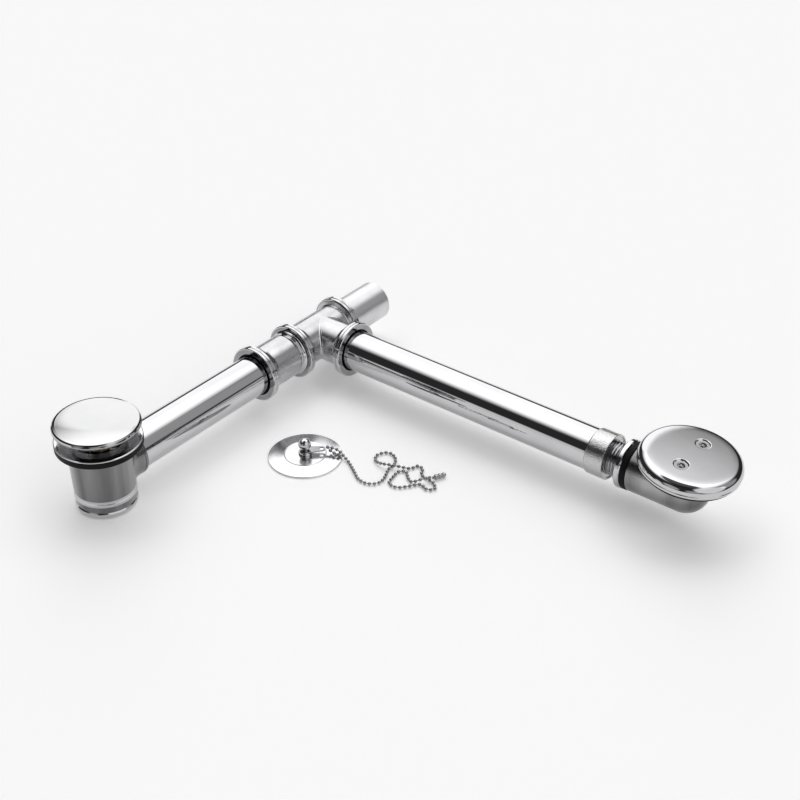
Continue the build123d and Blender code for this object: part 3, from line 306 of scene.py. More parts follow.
bloom.links.new(bloom_in.outputs["Rough"], bloom_rough.inputs["To Max"])
bloom.links.new(bloom_rough.outputs["Result"], bloom_out.inputs["Roughness"])

relief, relief_in, relief_out = new_group("surface_relief", {"Scale": "Float"}, {"Height": "Float"})
relief_noise = noise_on_object(relief, relief_in.outputs["Scale"], RELIEF_DETAIL)
relief.links.new(relief_noise.outputs["Fac"], relief_out.inputs["Height"])
print("shader groups", bloom.name, relief.name)

# %% [markdown]
# One plating gives many finishes, because the metal below was worked in different ways. The tubes, caps and
# nuts are mirror chrome; the stopper's crown is a slightly dimmer copy, which paints shade on the brightly lit
# cap, and the parts under the cap get a darker copy, which paints the cap's shade. The tee and its neighbours
# have a softer satin chrome. The cast shoe, elbow and base cap's body are darker and streaked upwards: painted
# dark reflections, with painted reflected stripes in them. The pipe's end was drawn, the loose plug spun and
# the base's rim turned. The chain is thinly plated and darker, the deep sides of the nuts are darker, and the
# screws are darker still, which paints the shade of their dimples. The sleeve by the overflow was blasted, so
# it sparkles. The washers are black rubber. Each is a Principled shader fed by the two groups. Its numbers are,
# in turn, the bloom's scale, its lowest and highest roughness, and the relief's grain and strength.

# %% Finishes
BUMP_DEPTH = 0.0004
RUBBER_SHINE = 0.12


def grey(level, cool=0.01):
    """Grey of a level, with a little more blue."""
    return (level, level, level + cool, 1.0)


def finish_of(name, bright, dull, scale, smooth, rough, grain, bump, metallic=1.0, stretch=(1.0, 1.0, 1.0)):
    """Principled material: bloom drives colour and roughness, and relief of one grain size drives a bump."""
    material = bpy.data.materials.new(name)
    material.use_nodes = True
    tree = material.node_tree
    shader = tree.nodes["Principled BSDF"]
    shader.inputs["Metallic"].default_value = metallic
    handled = tree.nodes.new("ShaderNodeGroup")
    handled.node_tree = bloom
    labels = ("Bright", "Dull", "Scale", "Smooth", "Rough", "Stretch")
    for label, value in zip(labels, (bright, dull, scale, smooth, rough, stretch)):
        handled.inputs[label].default_value = value
    tree.links.new(handled.outputs["Color"], shader.inputs["Base Color"])
    tree.links.new(handled.outputs["Roughness"], shader.inputs["Roughness"])
    raised = tree.nodes.new("ShaderNodeGroup")
    raised.node_tree = relief
    raised.inputs["Scale"].default_value = grain
    dent = tree.nodes.new("ShaderNodeBump")
    dent.inputs["Strength"].default_value = bump
    dent.inputs["Distance"].default_value = BUMP_DEPTH
    tree.links.new(raised.outputs["Height"], dent.inputs["Height"])
    tree.links.new(dent.outputs["Normal"], shader.inputs["Normal"])
    return material


mirror_chrome = finish_of("mirror_chrome", grey(0.58), grey(0.54), 26, 0.03, 0.07, 90, 0.05)
satin_chrome = finish_of("satin_chrome", grey(0.56), grey(0.49), 60, 0.20, 0.30, 900, 0.10)
# Painted shade: the stopper's crown is mirror chrome made a little dimmer, so that the bright light on the cap
# does not burn it out.
cap_chrome = finish_of("cap_chrome", grey(0.53, 0.005), grey(0.50, 0.005), 26, 0.03, 0.07, 90, 0.05)
# Painted reflections: the cast pieces get a much darker colour, and noise stretched upright gives them streaks;
# both stand in for a dark room reflected in them.
cast_chrome_painted_reflections = finish_of("cast_chrome_painted_reflections", grey(0.36, 0.005), grey(0.09, 0.004), 34, 0.16, 0.26, 1100, 0.10,
                        stretch=(1.0, 1.0, 0.06))
# Painted shade: a darker copy of chrome for the parts that lie under the stopper's cap.
shaded_chrome = finish_of("shaded_chrome", grey(0.24), grey(0.18), 45, 0.18, 0.28, 1100, 0.10)
turned_chrome = finish_of("turned_chrome", grey(0.60), grey(0.54), 40, 0.06, 0.12, 500, 0.06)
drawn_chrome = finish_of("drawn_chrome", grey(0.68), grey(0.62), 50, 0.33, 0.41, 900, 0.08)
spun_chrome = finish_of("spun_chrome", grey(0.68), grey(0.62), 50, 0.17, 0.23, 700, 0.06)
dark_chrome = finish_of("dark_chrome", grey(0.34), grey(0.26), 60, 0.05, 0.11, 400, 0.05)
blasted_chrome = finish_of("blasted_chrome", grey(0.60, 0.0), grey(0.42, 0.0), 1400, 0.14, 0.26, 900, 0.55)
# Painted shade: the screws get a very dark colour, which stands in for the shade in their dimples and recesses.
screw_chrome_painted_shade = finish_of("screw_chrome_painted_shade", grey(0.17, 0.005), grey(0.12, 0.005), 60, 0.06, 0.12, 400, 0.05)
spring_steel = finish_of("spring_steel", grey(0.64), grey(0.52), 90, 0.22, 0.34, 800, 0.10)
raw_brass = finish_of("raw_brass", (0.73, 0.57, 0.27, 1.0), (0.62, 0.46, 0.20, 1.0), 80, 0.24, 0.36, 700, 0.10)
black_rubber = finish_of("black_rubber", grey(0.004, 0.0), grey(0.008, 0.0), 120, 0.45, 0.62, 1200, 0.15,
                         metallic=0.0)
rubber_shader = black_rubber.node_tree.nodes["Principled BSDF"]
rubber_shader.inputs["Specular IOR Level"].default_value = RUBBER_SHINE
print("finishes", [material.name for material in bpy.data.materials if material.users])

# %% [markdown]
# The waste stands upright at the origin. Its parts stack from the floor: a beaded base cap, the tapered cast
# shoe, a thick black washer, the shallow flange and the domed stopper, drawn raised. All are turned about the
# same upright axis, so each needs only a profile. Heights are in millimetres above the floor.

# %% Base cap and washer
ORIGIN = np.zeros(3)
EAST = np.array([1.0, 0.0, 0.0])


def upright(profile):
    """Profile turned about the waste's own axis."""
    return turned(profile, ORIGIN, UP, EAST)


base_floor_profile = rounded((0, 0, 0), (24.2, 0, 0.9), (25.4, 1.2, 0))
base_rim_profile = rounded((25.4, 1.2, 0), (26.6, 2.4, 1.1), (26.6, 4.9, 1.0), (25.8, 6.15, 0))
base_wall_profile = rounded(
    (25.8, 6.15, 0), (25.7, 6.3, 0.3), (25.7, 12.0, 0.1), (24.65, 12.0, 0.1), (24.65, 3.8, 0.3), (0, 3.8, 0)
)
make_piece(
    "base_cap_turned",
    [upright(base_floor_profile), upright(base_rim_profile) + (turned_chrome,), upright(base_wall_profile)],
    cast_chrome_painted_reflections, ["shoe_base_cap"],
)

washer_profile = looped(
    (27.6, 60.2, 0), (28.5, 60.2, 0.1), (28.5, 59.6, 0.1), (37.1, 59.6, 0.8), (37.1, 65.3, 0.5),
    (33.2, 65.3, 0.2), (26.6, 60.53, 0.05), (26.6, 60.2, 0.05),
)
make_piece("washer_moulded", [upright(washer_profile)], black_rubber, ["flange_washer"])

print("base cap and washer made")

# %% [markdown]
# The flange is a shallow dish with a bright rim. Its tail goes down into the shoe, and a spider of four arms in
# the tail holds the barrel that the stopper's plunger runs in. It lies in the cap's shade, so it is duller.

# %% Flange and spider
SPIDER_LOW, SPIDER_TOP = 47.6, 53.6
ARM_FROM, ARM_TO, ARM_HALF, ARM_ROUND = 8.6, 22.6, 1.5, 0.5
flange_profile = rounded(
    (23, SPIDER_LOW, 0), (24.9, SPIDER_LOW, 0.3), (24.9, 59.6, 0.3), (32.8, 65.3, 0.5), (37.1, 65.3, 0.2),
    (37.1, 66.1, 0.3), (36.5, 66.5, 0.5), (34.0, 66.4, 0),
)
dish_profile = rounded(
    (34.0, 66.4, 0), (31.5, 66.3, 3.0), (22.5, 64.9, 0.6), (22.0, 63.9, 0.5), (22.0, SPIDER_LOW, 0.3),
    (23, SPIDER_LOW, 0),
)
boss_profile = looped(
    (7.8, SPIDER_LOW, 0), (9, SPIDER_LOW, 0.3), (9, SPIDER_TOP, 0.5), (6.6, SPIDER_TOP, 0.3),
    (6.6, SPIDER_LOW, 0.3),
)


def arm_of(heading):
    """Bar of the spider from its boss to the tail's wall: a rounded box section carried along a radius."""
    section, lean = looped(
        (0, SPIDER_LOW, 0), (ARM_HALF, SPIDER_LOW, ARM_ROUND), (ARM_HALF, SPIDER_TOP, ARM_ROUND),
        (-ARM_HALF, SPIDER_TOP, ARM_ROUND), (-ARM_HALF, SPIDER_LOW, ARM_ROUND),
    )
    way = np.array([math.cos(heading), math.sin(heading), 0.0])
    side = np.cross(UP, way)
    reach = np.array([ARM_FROM, ARM_TO])
    grid = reach[:, None, None] * way + section[None, :, :1] * side + section[None, :, 1:] * UP
    facing = np.broadcast_to(lean[:, :1] * side + lean[:, 1:] * UP, grid.shape)
    return as_rows(grid, facing, grid_faces(2, len(section), False).tolist())


spider = [arm_of(math.radians(45 + 90 * quarter)) for quarter in range(4)]
make_piece(
    "flange_turned",
    [
        upright(flange_profile) + (mirror_chrome,), upright(dish_profile) + (satin_chrome,),
        upright(boss_profile), *spider,
    ],
    shaded_chrome, ["waste_flange"],
)
print("flange made,", len(spider), "arms")

# %% [markdown]
# The shoe is a tapered pot with a short socket on its side. Where the socket meets the pot the casting is
# rounded. That round is a saddle: for each direction round the socket, a curve runs from the pot's wall,
# past the corner where the two would meet, and out along the socket.

# %% Saddle
SADDLE_SINK, SADDLE_PAST = 0.02, 0.4


def saddle(depth, branch, spread, weight, reach, origin, across, along, columns=192, rows=14):
    """Rounded joint where a pipe leaves another wall.

    depth(a, b) is how far out the wall stands at a across and b along it. For an angle t round the
    pipe, with w = weight(t), the curve has three control points: just inside the wall at radius
    branch + spread * w, on the wall at radius branch, and further out on the pipe by spread * w and a
    little more. A quadratic Bezier curve joins them, and a last ring ends at reach.
    """
    out = np.cross(across, along)
    angle = circle(columns)
    cosine, sine = np.cos(angle), np.sin(angle)
    width = spread * weight(angle)
    wide = branch + width

    def ring(radius, height):
        return (
            origin
            + (radius * cosine)[:, None] * across
            + (radius * sine)[:, None] * along
            + height[:, None] * out
        )

    corner = depth(branch * cosine, branch * sine)
    foot = ring(wide, depth(wide * cosine, wide * sine) - SADDLE_SINK)
    middle = ring(np.full(columns, branch), corner)
    top = ring(np.full(columns, branch), corner + width + SADDLE_PAST)
    step = np.linspace(0, 1, rows)[:, None, None]
    curve = (1 - step) ** 2 * foot + 2 * step * (1 - step) * middle + step**2 * top
    end = ring(np.full(columns, branch), np.full(columns, float(reach)))
    return sheet_of(np.concatenate([curve, end[None]]))


print("saddle helper ready")

# %% [markdown]
# On the shoe the saddle is even all round. The pot's wall leans outwards, so its depth at the socket is found
# from the radius at each height. A bright bead runs round the foot, above the base cap.

# %% Shoe
NORTH = np.array([0.0, 1.0, 0.0])
AXIS_HEIGHT = 34.4
SHOE_CENTRE = np.array([0.0, 0.0, AXIS_HEIGHT])
SHOE_FOOT, SHOE_FOOT_R, SHOE_FLARE = 12.0, 26.2, 1.5 / 47.6
SOCKET_R, SOCKET_BORE = 21.3, 19.1

foot_bead_profile = rounded(
    (24.5, SHOE_FOOT, 0), (26.8, SHOE_FOOT, 0.7), (26.8, 14.5, 1.6), (26.33, 15.9, 0.9), (26.4, 18.0, 0)
)
shoe_profile = rounded(
    (26.4, 18.0, 0), (27.7, 59.6, 0.2), (27.7, 60.2, 0.2), (26.0, 60.2, 0.1), (25.0, 59.2, 0.2),
    (25.0, 46.6, 0.2), (22.9, 46.6, 0.2), (22.9, 6.0, 0.2), (24.5, 6.0, 0.2), (24.5, SHOE_FOOT, 0),
)


def pot_depth(high, wide):
    """How far out the pot's wall stands: sqrt(R^2 - wide^2), where R grows evenly with the height."""
    return np.sqrt((SHOE_FOOT_R + (high + AXIS_HEIGHT - SHOE_FOOT) * SHOE_FLARE) ** 2 - wide**2)


shoe_saddle = saddle(pot_depth, SOCKET_R, 2.6, np.ones_like, 29.42, SHOE_CENTRE, UP, EAST)
socket_profile = rounded(
    (SOCKET_R, 29.4, 0), (SOCKET_R, 29.55, 0.08), (20.75, 29.65, 0.1), (20.75, 30.05, 0.1),
    (SOCKET_R, 30.15, 0.12), (SOCKET_R, 33.3, 1.5), (SOCKET_BORE, 33.3, 0.3), (SOCKET_BORE, 27.0, 0),
)
make_piece(
    "shoe_cast",
    [
        upright(shoe_profile), upright(foot_bead_profile) + (turned_chrome,), shoe_saddle,
        turned(socket_profile, SHOE_CENTRE, NORTH, UP),
    ],
    cast_chrome_painted_reflections, ["waste_shoe"],
)
print("shoe made, socket radius", SOCKET_R, "mm")

# %% [markdown]
# The stopper is the one part that moves: it is pushed down and springs up on its plunger, so its pieces ride
# on the stopper body. The cap is a shallow part of a ball with a small bevel at its edge, and its underside has
# a darker colour than its crown, which paints the shade under the cap. Under it sit the rubber seal, the disc
# that backs it, and the plunger.

# %% Stopper
CAP_TOP, CROWN, CROWN_EDGE = 85.6, 230.0, 33.7
crown_tilt = math.degrees(math.asin(CROWN_EDGE / CROWN))
crown_points, crown_normals = bowl_of(CROWN, CAP_TOP - CROWN, crown_tilt, 0.0, 40)
cap_profile = joined(
    rounded(
        (37.2, 79.9, 0), (37.2, 80.2, 0.3), (36.7, 81.6, 1.0), (35.6, 82.6, 0.9),
        (*crown_points[0], 1.0), (*crown_points[3], 0),
    ),
    (crown_points[4:], crown_normals[4:]),
)
under_cap_profile = rounded(
    (0, 76.2, 0), (14, 76.2, 0.3), (14, 80.0, 0.6), (34.2, 80.0, 0.4), (35.2, 78.1, 0.2), (36.71, 78.1, 0.25),
    (37.2, 78.9, 0.4), (37.2, 79.9, 0),
)
make_piece("cap_turned", [upright(cap_profile), upright(under_cap_profile) + (shaded_chrome,)],
           cap_chrome, ["stopper_cap"], "stopper")

seal_profile = looped(
    (14, 72.8, 0), (21.0, 72.8, 0.9), (21.0, 76.2, 0.9), (4.5, 76.2, 0.2), (4.5, 72.8, 0.2)
)
make_piece("seal_moulded", [upright(seal_profile)], black_rubber, ["stopper_seal"], "stopper")

retainer_profile = looped((12, 71.2, 0), (19, 71.2, 0.4), (19, 72.8, 0.4), (4.5, 72.8, 0.2), (4.5, 71.2, 0.2))
make_piece("retainer_turned", [upright(retainer_profile)],
           mirror_chrome, ["seal_retainer"], "stopper")

plunger_profile = rounded(
    (0, 51.2, 0), (4.85, 51.2, 0.3), (4.85, 54.5, 0.3), (4.4, 54.5, 0.1), (4.4, 69.7, 0.2), (7, 69.7, 0.4),
    (7, 71.2, 0.2), (4.4, 71.2, 0.2), (4.4, 81.2, 0.3), (0, 81.2, 0),
)
make_piece("plunger_turned", [upright(plunger_profile)],
           dark_chrome, ["stopper_plunger"], "stopper")
print("stopper made, crown radius", CROWN, "mm")

# %% [markdown]
# A coil spring in the barrel lifts the stopper. A coil of fixed length would be run through by the plunger
# when the stopper goes down; here it is wound once as a ring carried along a helix, at its full length, with a
# small gap at each end.

# %% Return spring
SPRING_SEAT, SPRING_SPACE, SPRING_SHUT = 32.2, 19.0, 8.5
SPRING_R, SPRING_WIRE, SPRING_TURNS, END_GAP = 4.1, 0.45, 6, 0.55


def coil(radius, wire, low, rise, turns, steps=360, columns=12):
    """Ring carried along a helix: (R cos t, R sin t, low + rise * t / whole), plus
    wire * (cos v * n + sin v * b), where n points away from the axis and b is square to n and to the wire."""
    whole = 2 * np.pi * turns
    t = np.linspace(0, whole, steps)
    outward = np.stack([np.cos(t), np.sin(t), np.zeros(steps)], axis=1)
    along = unit(np.stack([-np.sin(t), np.cos(t), np.full(steps, rise / (radius * whole))], axis=1))
    binormal = np.cross(along, outward)
    line = outward * radius + (low + rise * t / whole)[:, None] * UP
    v = circle(columns)[None, :, None]
    ring = np.cos(v) * outward[:, None] + np.sin(v) * binormal[:, None]
    ends = [np.arange(columns)[::-1].tolist(), ((steps - 1) * columns + np.arange(columns)).tolist()]
    return as_rows(line[:, None] + wire * ring, ring, grid_faces(steps, columns, True).tolist() + ends)


spring = make_piece(
    "spring_wound",
    [coil(SPRING_R, SPRING_WIRE, SPRING_SEAT + END_GAP, SPRING_SPACE - 2 * END_GAP, SPRING_TURNS)],
    spring_steel, ["plunger_spring"],
)
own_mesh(spring)
print("spring made, shortening from", SPRING_SPACE, "to", SPRING_SHUT, "mm")

# %% [markdown]
# The pipes meet at the tee. Everything on them is turned about one of the tee's three axes, and heights are
# then distances from the tee's centre. The tubes are thin-walled and open, so their ends show a real wall.

# %% Tubes
TEE = np.array([0.0, 275.5, AXIS_HEIGHT])
TO_WASTE, TO_TAIL, TO_OVERFLOW = -NORTH, NORTH, EAST
TUBE_R, TUBE_BORE, TUBE_SEGMENTS = 19.0, 17.8, 256


def on_pipe(profile, axis, **options):
    """Profile turned about one of the tee's axes, with the seam at the top."""
    return turned(profile, TEE, axis, UP, **options)


def tube_profile(start, end):
    """Open tube of the standard size between two distances from the tee."""
    return looped(
        (TUBE_R, (start + end) / 2, 0), (TUBE_R, end, 0.35), (TUBE_BORE, end, 0.35), (TUBE_BORE, start, 0.35),
        (TUBE_R, start, 0.35),
    )


make_piece("waste_tube_drawn", [on_pipe(tube_profile(56.3, 249.2), TO_WASTE, segments=TUBE_SEGMENTS)],
           mirror_chrome, ["waste_tube"])
make_piece("overflow_tube_drawn", [on_pipe(tube_profile(19.7, 320.7), TO_OVERFLOW, segments=TUBE_SEGMENTS)],
           mirror_chrome, ["overflow_tube"])

tail_profile = looped(
    (TUBE_R, 25, 0), (TUBE_R, 31.8, 0.05), (18.7, 31.9, 0.05), (18.7, 32.2, 0.05), (TUBE_R, 32.3, 0.05),
    (TUBE_R, 84.4, 0.45), (TUBE_BORE, 84.4, 0.4), (TUBE_BORE, 19.7, 0.3), (TUBE_R, 19.7, 0.3),
)
make_piece("tail_pipe_drawn", [on_pipe(tail_profile, TO_TAIL, segments=TUBE_SEGMENTS)],
           drawn_chrome, ["tail_pipe"])
print("tubes made, radius", TUBE_R, "mm")

# %% [markdown]
# A slip coupling takes the waste tube into the tee, and four slip nuts press the washers that seal the pipes.
# All four nuts are alike, so their corners are written once, as heights above the nut's back, and a loop
# turns each one where it belongs.

# %% Coupling and nuts
RUN_R = 20.9
coupling_profile = rounded(
    (RUN_R, 49.6, 0), (RUN_R, 81.13, 10.4), (25.2, 84.6, 0.25), (24, 84.6, 0.1), (24, 87.2, 0.2),
    (SOCKET_BORE, 87.2, 0.2), (SOCKET_BORE, 56, 0.2), (17.5, 56, 0.2), (17.5, 19.7, 0.2), (TUBE_R, 19.7, 0.2),
    (TUBE_R, 30, 0),
)
coupling_neck_profile = rounded(
    (TUBE_R, 30, 0), (TUBE_R, 41.1, 0.1), (22.2, 41.1, 0.4), (22.2, 42.3, 1.6), (21.1, 43.7, 1.8),
    (TUBE_R, 44.6, 0.5), (TUBE_R, 47.0, 1.0), (RUN_R, 48.8, 1.2), (RUN_R, 49.6, 0),
)
make_piece(
    "coupling_turned",
    [on_pipe(coupling_profile, TO_WASTE), on_pipe(coupling_neck_profile, TO_WASTE) + (mirror_chrome,)],
    satin_chrome, ["slip_coupling"],
)

NUT_RIMS = [
    (25.0, 0, 0), (25.7, 0, 0.2), (26.2, 0.5, 0.3), (26.2, 2.65, 0.2), (25.55, 2.98, 0.15),
    (25.55, 3.62, 0.15), (26.45, 3.95, 0.25), (26.45, 6.1, 0.35), (25.95, 6.6, 0.35), (25.2, 6.6, 0),
]
NUT_FACE = [
    (25.2, 6.6, 0), (20.6, 6.6, 0.3), (20.6, 4.6, 0.2), (24.15, 4.6, 0.2), (24.15, 0, 0.2), (25.0, 0, 0),
]


def nut_of(axis, back):
    """Slip nut: two polished rims with a groove between them, and a duller face with room for its washer."""
    rims, face = [
        on_pipe(rounded(*[(radius, back + height, size) for radius, height, size in steps]), axis)
        for steps in (NUT_RIMS, NUT_FACE)
    ]
    return [rims, face + (dark_chrome,)]


NUTS = {
    "coupling_nut": (TO_WASTE, 84.6), "tee_inlet_nut": (TO_WASTE, 34.2),
    "tee_outlet_nut": (TO_TAIL, 24.7), "tee_branch_nut": (TO_OVERFLOW, 39.9),
}
for nut, (axis, back) in NUTS.items():
    make_piece(nut + "_turned", nut_of(axis, back), mirror_chrome, [nut])
print("coupling and", len(NUTS), "slip nuts made")

# %% [markdown]
# The tee's run is a single turned piece with a bell at each end. Its branch leaves through a saddle, which is
# widest along the run and closes to a crease at the top, where the two pipes are almost the same height.

# %% Tee
BRANCH_R = 20.5
run_profile = looped(
    (21.5, -36.8, 0), (24, -36.8, 0.2), (24, -34.2, 0.1), (25.2, -34.2, 0.2), (RUN_R, -29.2, 4.0),
    (RUN_R, 23.0, 1.0), (25.2, 24.7, 0.2), (24, 24.7, 0.1), (24, 27.3, 0.2), (SOCKET_BORE, 27.3, 0.2),
    (SOCKET_BORE, -36.8, 0.2),
)
branch_profile = rounded(
    (BRANCH_R, 28.0, 0), (BRANCH_R, 34.9, 4.0), (25.2, 39.9, 0.2), (24, 39.9, 0.1), (24, 42.5, 0.2),
    (SOCKET_BORE, 42.5, 0.2), (SOCKET_BORE, 24.0, 0),
)


def run_depth(run, high):
    """How far out the run's wall stands: sqrt(R^2 - high^2), the same all along the run."""
    return np.sqrt(RUN_R**2 - high**2)


def branch_weight(angle):
    """Width of the saddle: cos^2, so that it closes at the top, and wider towards the waste."""
    return np.cos(angle) ** 2 * (0.7 - 0.3 * np.cos(angle))


branch_saddle = saddle(run_depth, BRANCH_R, 3.8, branch_weight, 28.02, TEE, NORTH, UP)
make_piece(
    "tee_cast", [on_pipe(run_profile, TO_TAIL), branch_saddle, on_pipe(branch_profile, TO_OVERFLOW)],
    satin_chrome, ["tee_body"],
)
print("tee made, run radius", RUN_R, "mm")

# %% [markdown]
# At the overflow end the tube enters a blasted sleeve, whose end wall holds a short threaded neck. A lock
# collar and a rubber ring sit on the neck, in front of the cast elbow.

# %% Sleeve, neck, collar and ring
NECK_R, NECK_HOLE, NECK_BORE = 15.2, 15.3, 12.7
THREAD_R, THREAD_FROM, THREAD_PITCH, THREAD_TURNS = 14.1, 329.2, 2.8, 4
sleeve_profile = looped(
    (19.3, 311.6, 0), (19.5, 311.6, 0.1), (20.5, 312.6, 0.7), (20.5, 329.6, 0.5), (SOCKET_BORE, 329.6, 0.4),
    (SOCKET_BORE, 328.4, 0.3), (NECK_HOLE, 328.4, 0.2), (NECK_HOLE, 324.4, 0.2), (17.5, 324.4, 0.2),
    (17.5, 321.0, 0.2), (SOCKET_BORE, 321.0, 0.2), (SOCKET_BORE, 311.6, 0.1),
)
make_piece("sleeve_blasted", [on_pipe(sleeve_profile, TO_OVERFLOW)],
           blasted_chrome, ["overflow_sleeve"])

ridges = []
for ridge in THREAD_FROM + THREAD_PITCH * np.arange(THREAD_TURNS):
    ridges += [
        (THREAD_R, ridge, 0.3),
        (NECK_R, ridge + 0.3 * THREAD_PITCH, 0.35),
        (NECK_R, ridge + 0.7 * THREAD_PITCH, 0.35),
    ]
neck_profile = looped(
    (14, 324.4, 0), (NECK_R, 324.4, 0.1), (NECK_R, 328.4, 0.2), *ridges, (THREAD_R, 340.4, 0.2),
    (NECK_R, 341.2, 0.1), (NECK_R, 362.4, 0.2), (NECK_BORE, 362.4, 0.2), (NECK_BORE, 324.4, 0.2),
)
make_piece("neck_threaded", [on_pipe(neck_profile, TO_OVERFLOW)],
           dark_chrome, ["overflow_neck"])

collar_profile = looped(
    (18, 341.2, 0), (20.7, 341.2, 0.4), (21.8, 342.3, 0.9), (21.8, 345.7, 0.9), (20.7, 346.8, 0.4),
    (NECK_HOLE, 346.8, 0.2), (NECK_HOLE, 341.2, 0.2),
)
make_piece("collar_turned", [on_pipe(collar_profile, TO_OVERFLOW)],
           mirror_chrome, ["elbow_collar"])

ring_profile = looped(
    (18, 346.8, 0), (21.2, 346.8, 0.9), (21.2, 352.4, 0.9), (NECK_HOLE, 352.4, 0.3), (NECK_HOLE, 346.8, 0.3)
)
make_piece("ring_moulded", [on_pipe(ring_profile, TO_OVERFLOW)], black_rubber, ["elbow_ring"])
print("sleeve, neck, collar and ring made")

# %% [markdown]
# The elbow turns the flow upwards to a flange that leans 6.5 degrees, as the end of a bath does. Its barrel
# ends in half a ball, and the upper part is turned about the leaning axis. The gasket sits on the flange.

# %% Elbow and gasket
CANT = math.radians(6.5)
ELBOW_R, ELBOW_END = 20.9, 399.0
HEAD = np.array([ELBOW_END, TEE[1], 54.2])
HEAD_UP = np.array([math.sin(CANT), 0.0, math.cos(CANT)])
HEAD_EAST = np.array([math.cos(CANT), 0.0, -math.sin(CANT)])
HEAD_NORTH = np.cross(HEAD_UP, HEAD_EAST)


def on_head(profile, **options):
    """Profile turned about the overflow head's leaning axis; height 0 is the flange's face."""
    return turned(profile, HEAD, HEAD_UP, HEAD_EAST, **options)


barrel_profile = joined(
    rounded((NECK_HOLE, 364.0, 0), (NECK_HOLE, 352.4, 0.3), (ELBOW_R, 352.4, 0.6), (ELBOW_R, 398.8, 0)),
    bowl_of(ELBOW_R, ELBOW_END, 90.0, 0.0, 40),
)
throat_profile = rounded(
    (ELBOW_R, -19.8, 0), (ELBOW_R, -12.0, 6.0), (24.0, -6.0, 4.0), (36.0, -2.5, 0.5), (36.0, 0, 0.5),
    (14.0, 0, 0.4), (14.0, -12.0, 0),
)
make_piece("elbow_cast", [on_pipe(barrel_profile, TO_OVERFLOW), on_head(throat_profile)],
           cast_chrome_painted_reflections, ["overflow_elbow"])

gasket_profile = looped((35, 0, 0), (41.2, 0, 0.7), (41.2, 3, 0.7), (29, 3, 0.3), (29, 0, 0.3))
make_piece("gasket_moulded", [on_head(gasket_profile)], black_rubber, ["overflow_gasket"])
print("elbow and gasket made, leaning", round(math.degrees(CANT), 1), "degrees")

# %% [markdown]
# The overflow plate is pressed from one sheet: a nearly flat face, a bullnose rim and a short skirt with an
# inlet notch on the side that faces the sleeve. Two dimples are pressed into the face for the screws. The face
# is a height field in polar coordinates, because a dimple is easiest to write as a height over the face.

# %% Plate's face
FACE, FACE_R = 15.3, 36.7
DOME_R, ROLL_FROM, ROLL = 800.0, 30.0, 0.00044
DIMPLES = np.array([[0.0, 17.7], [0.0, -17.7]])
DIMPLE_DEPTH, DIMPLE_R, DIMPLE_SLOPE = 2.6, 7.2, 3.0
FIELD_HOLE, TINY = 0.02, 1e-3


def smooth_step(value):
    """0 below 0 and 1 above 1, with the slope and its change both starting and ending at nothing."""
    value = np.clip(value, 0.0, 1.0)
    return value**3 * (value * (6 * value - 15) + 10)


def face_height(away):
    """Nearly flat face: FACE less r^2 / (2 DOME_R), less ROLL times a cube that starts at ROLL_FROM."""
    return FACE - away**2 / (2 * DOME_R) - ROLL * np.clip(away - ROLL_FROM, 0.0, None) ** 3


def plate_height(x, y):
    """The face less a smooth bowl at each screw, with a flat floor inside its slope."""
    away = np.sqrt((x[..., None] - DIMPLES[:, 0]) ** 2 + (y[..., None] - DIMPLES[:, 1]) ** 2)
    dent = DIMPLE_DEPTH * smooth_step((DIMPLE_R - away) / DIMPLE_SLOPE)
    return face_height(np.sqrt(x**2 + y**2)) - dent.sum(axis=-1)


def height_field(height, radius, centre, rows, columns):
    """Disc on the leaning head: centre + r cos a e1 + r sin a e2 + height e3, with normals from slopes."""
    angle = circle(columns)
    reach = np.linspace(radius, radius * FIELD_HOLE, rows)[:, None]
    x, y = reach * np.cos(angle), reach * np.sin(angle)
    slope_x = (height(x + TINY, y) - height(x - TINY, y)) / (2 * TINY)
    slope_y = (height(x, y + TINY) - height(x, y - TINY)) / (2 * TINY)
    base = HEAD + centre[0] * HEAD_EAST + centre[1] * HEAD_NORTH
    grid = base + x[..., None] * HEAD_EAST + y[..., None] * HEAD_NORTH + height(x, y)[..., None] * HEAD_UP
    facing = unit(HEAD_UP - slope_x[..., None] * HEAD_EAST - slope_y[..., None] * HEAD_NORTH)
    faces = grid_faces(rows, columns, True).tolist()
    tip = base + height(np.zeros(1), np.zeros(1))[0] * HEAD_UP
    last = (rows - 1) * columns + np.arange(columns)
    fan = np.stack([last, np.roll(last, -1), np.full(columns, rows * columns)], axis=1).tolist()
    points = np.concatenate([grid.reshape(-1, 3), tip[None]])
    return points, np.concatenate([facing.reshape(-1, 3), HEAD_UP[None]]), faces + fan


print("face rolls over by", round(FACE - float(face_height(FACE_R)), 2), "mm at its edge")

# %% [markdown]
# The rim is a bullnose: an arc that takes over from the face at the same slope, so that the reflections run on
# without a break, and ends upright at the edge. The notch is cut by turning the skirt through less than a
# whole turn, and a short roof closes the gap that is left above it.

# %% Plate's rim, skirt and notch
EDGE_R, SKIRT_R = 43.65, 42.8
NOTCH_HALF, NOTCH_TOP, NOTCH_INNER = 15.0, 10.0, 41.03
NOTCH = math.degrees(math.asin(NOTCH_HALF / SKIRT_R))
edge_tilt = math.atan(FACE_R / DOME_R + 3 * ROLL * (FACE_R - ROLL_FROM) ** 2)
NOSE_R = (EDGE_R - FACE_R) / (1 - math.sin(edge_tilt))
NOSE_UP = face_height(FACE_R) - NOSE_R * math.cos(edge_tilt)
notch_tilt = math.acos((NOTCH_TOP - NOSE_UP) / NOSE_R)


def nose_arc(from_tilt, to_tilt):
    """Part of the bullnose between two tilts from upright, as a bowl_of arc moved out to the edge."""
    points, normals = bowl_of(NOSE_R, NOSE_UP, math.degrees(from_tilt), math.degrees(to_tilt), 28)
    return points + [EDGE_R - NOSE_R, 0.0], normals


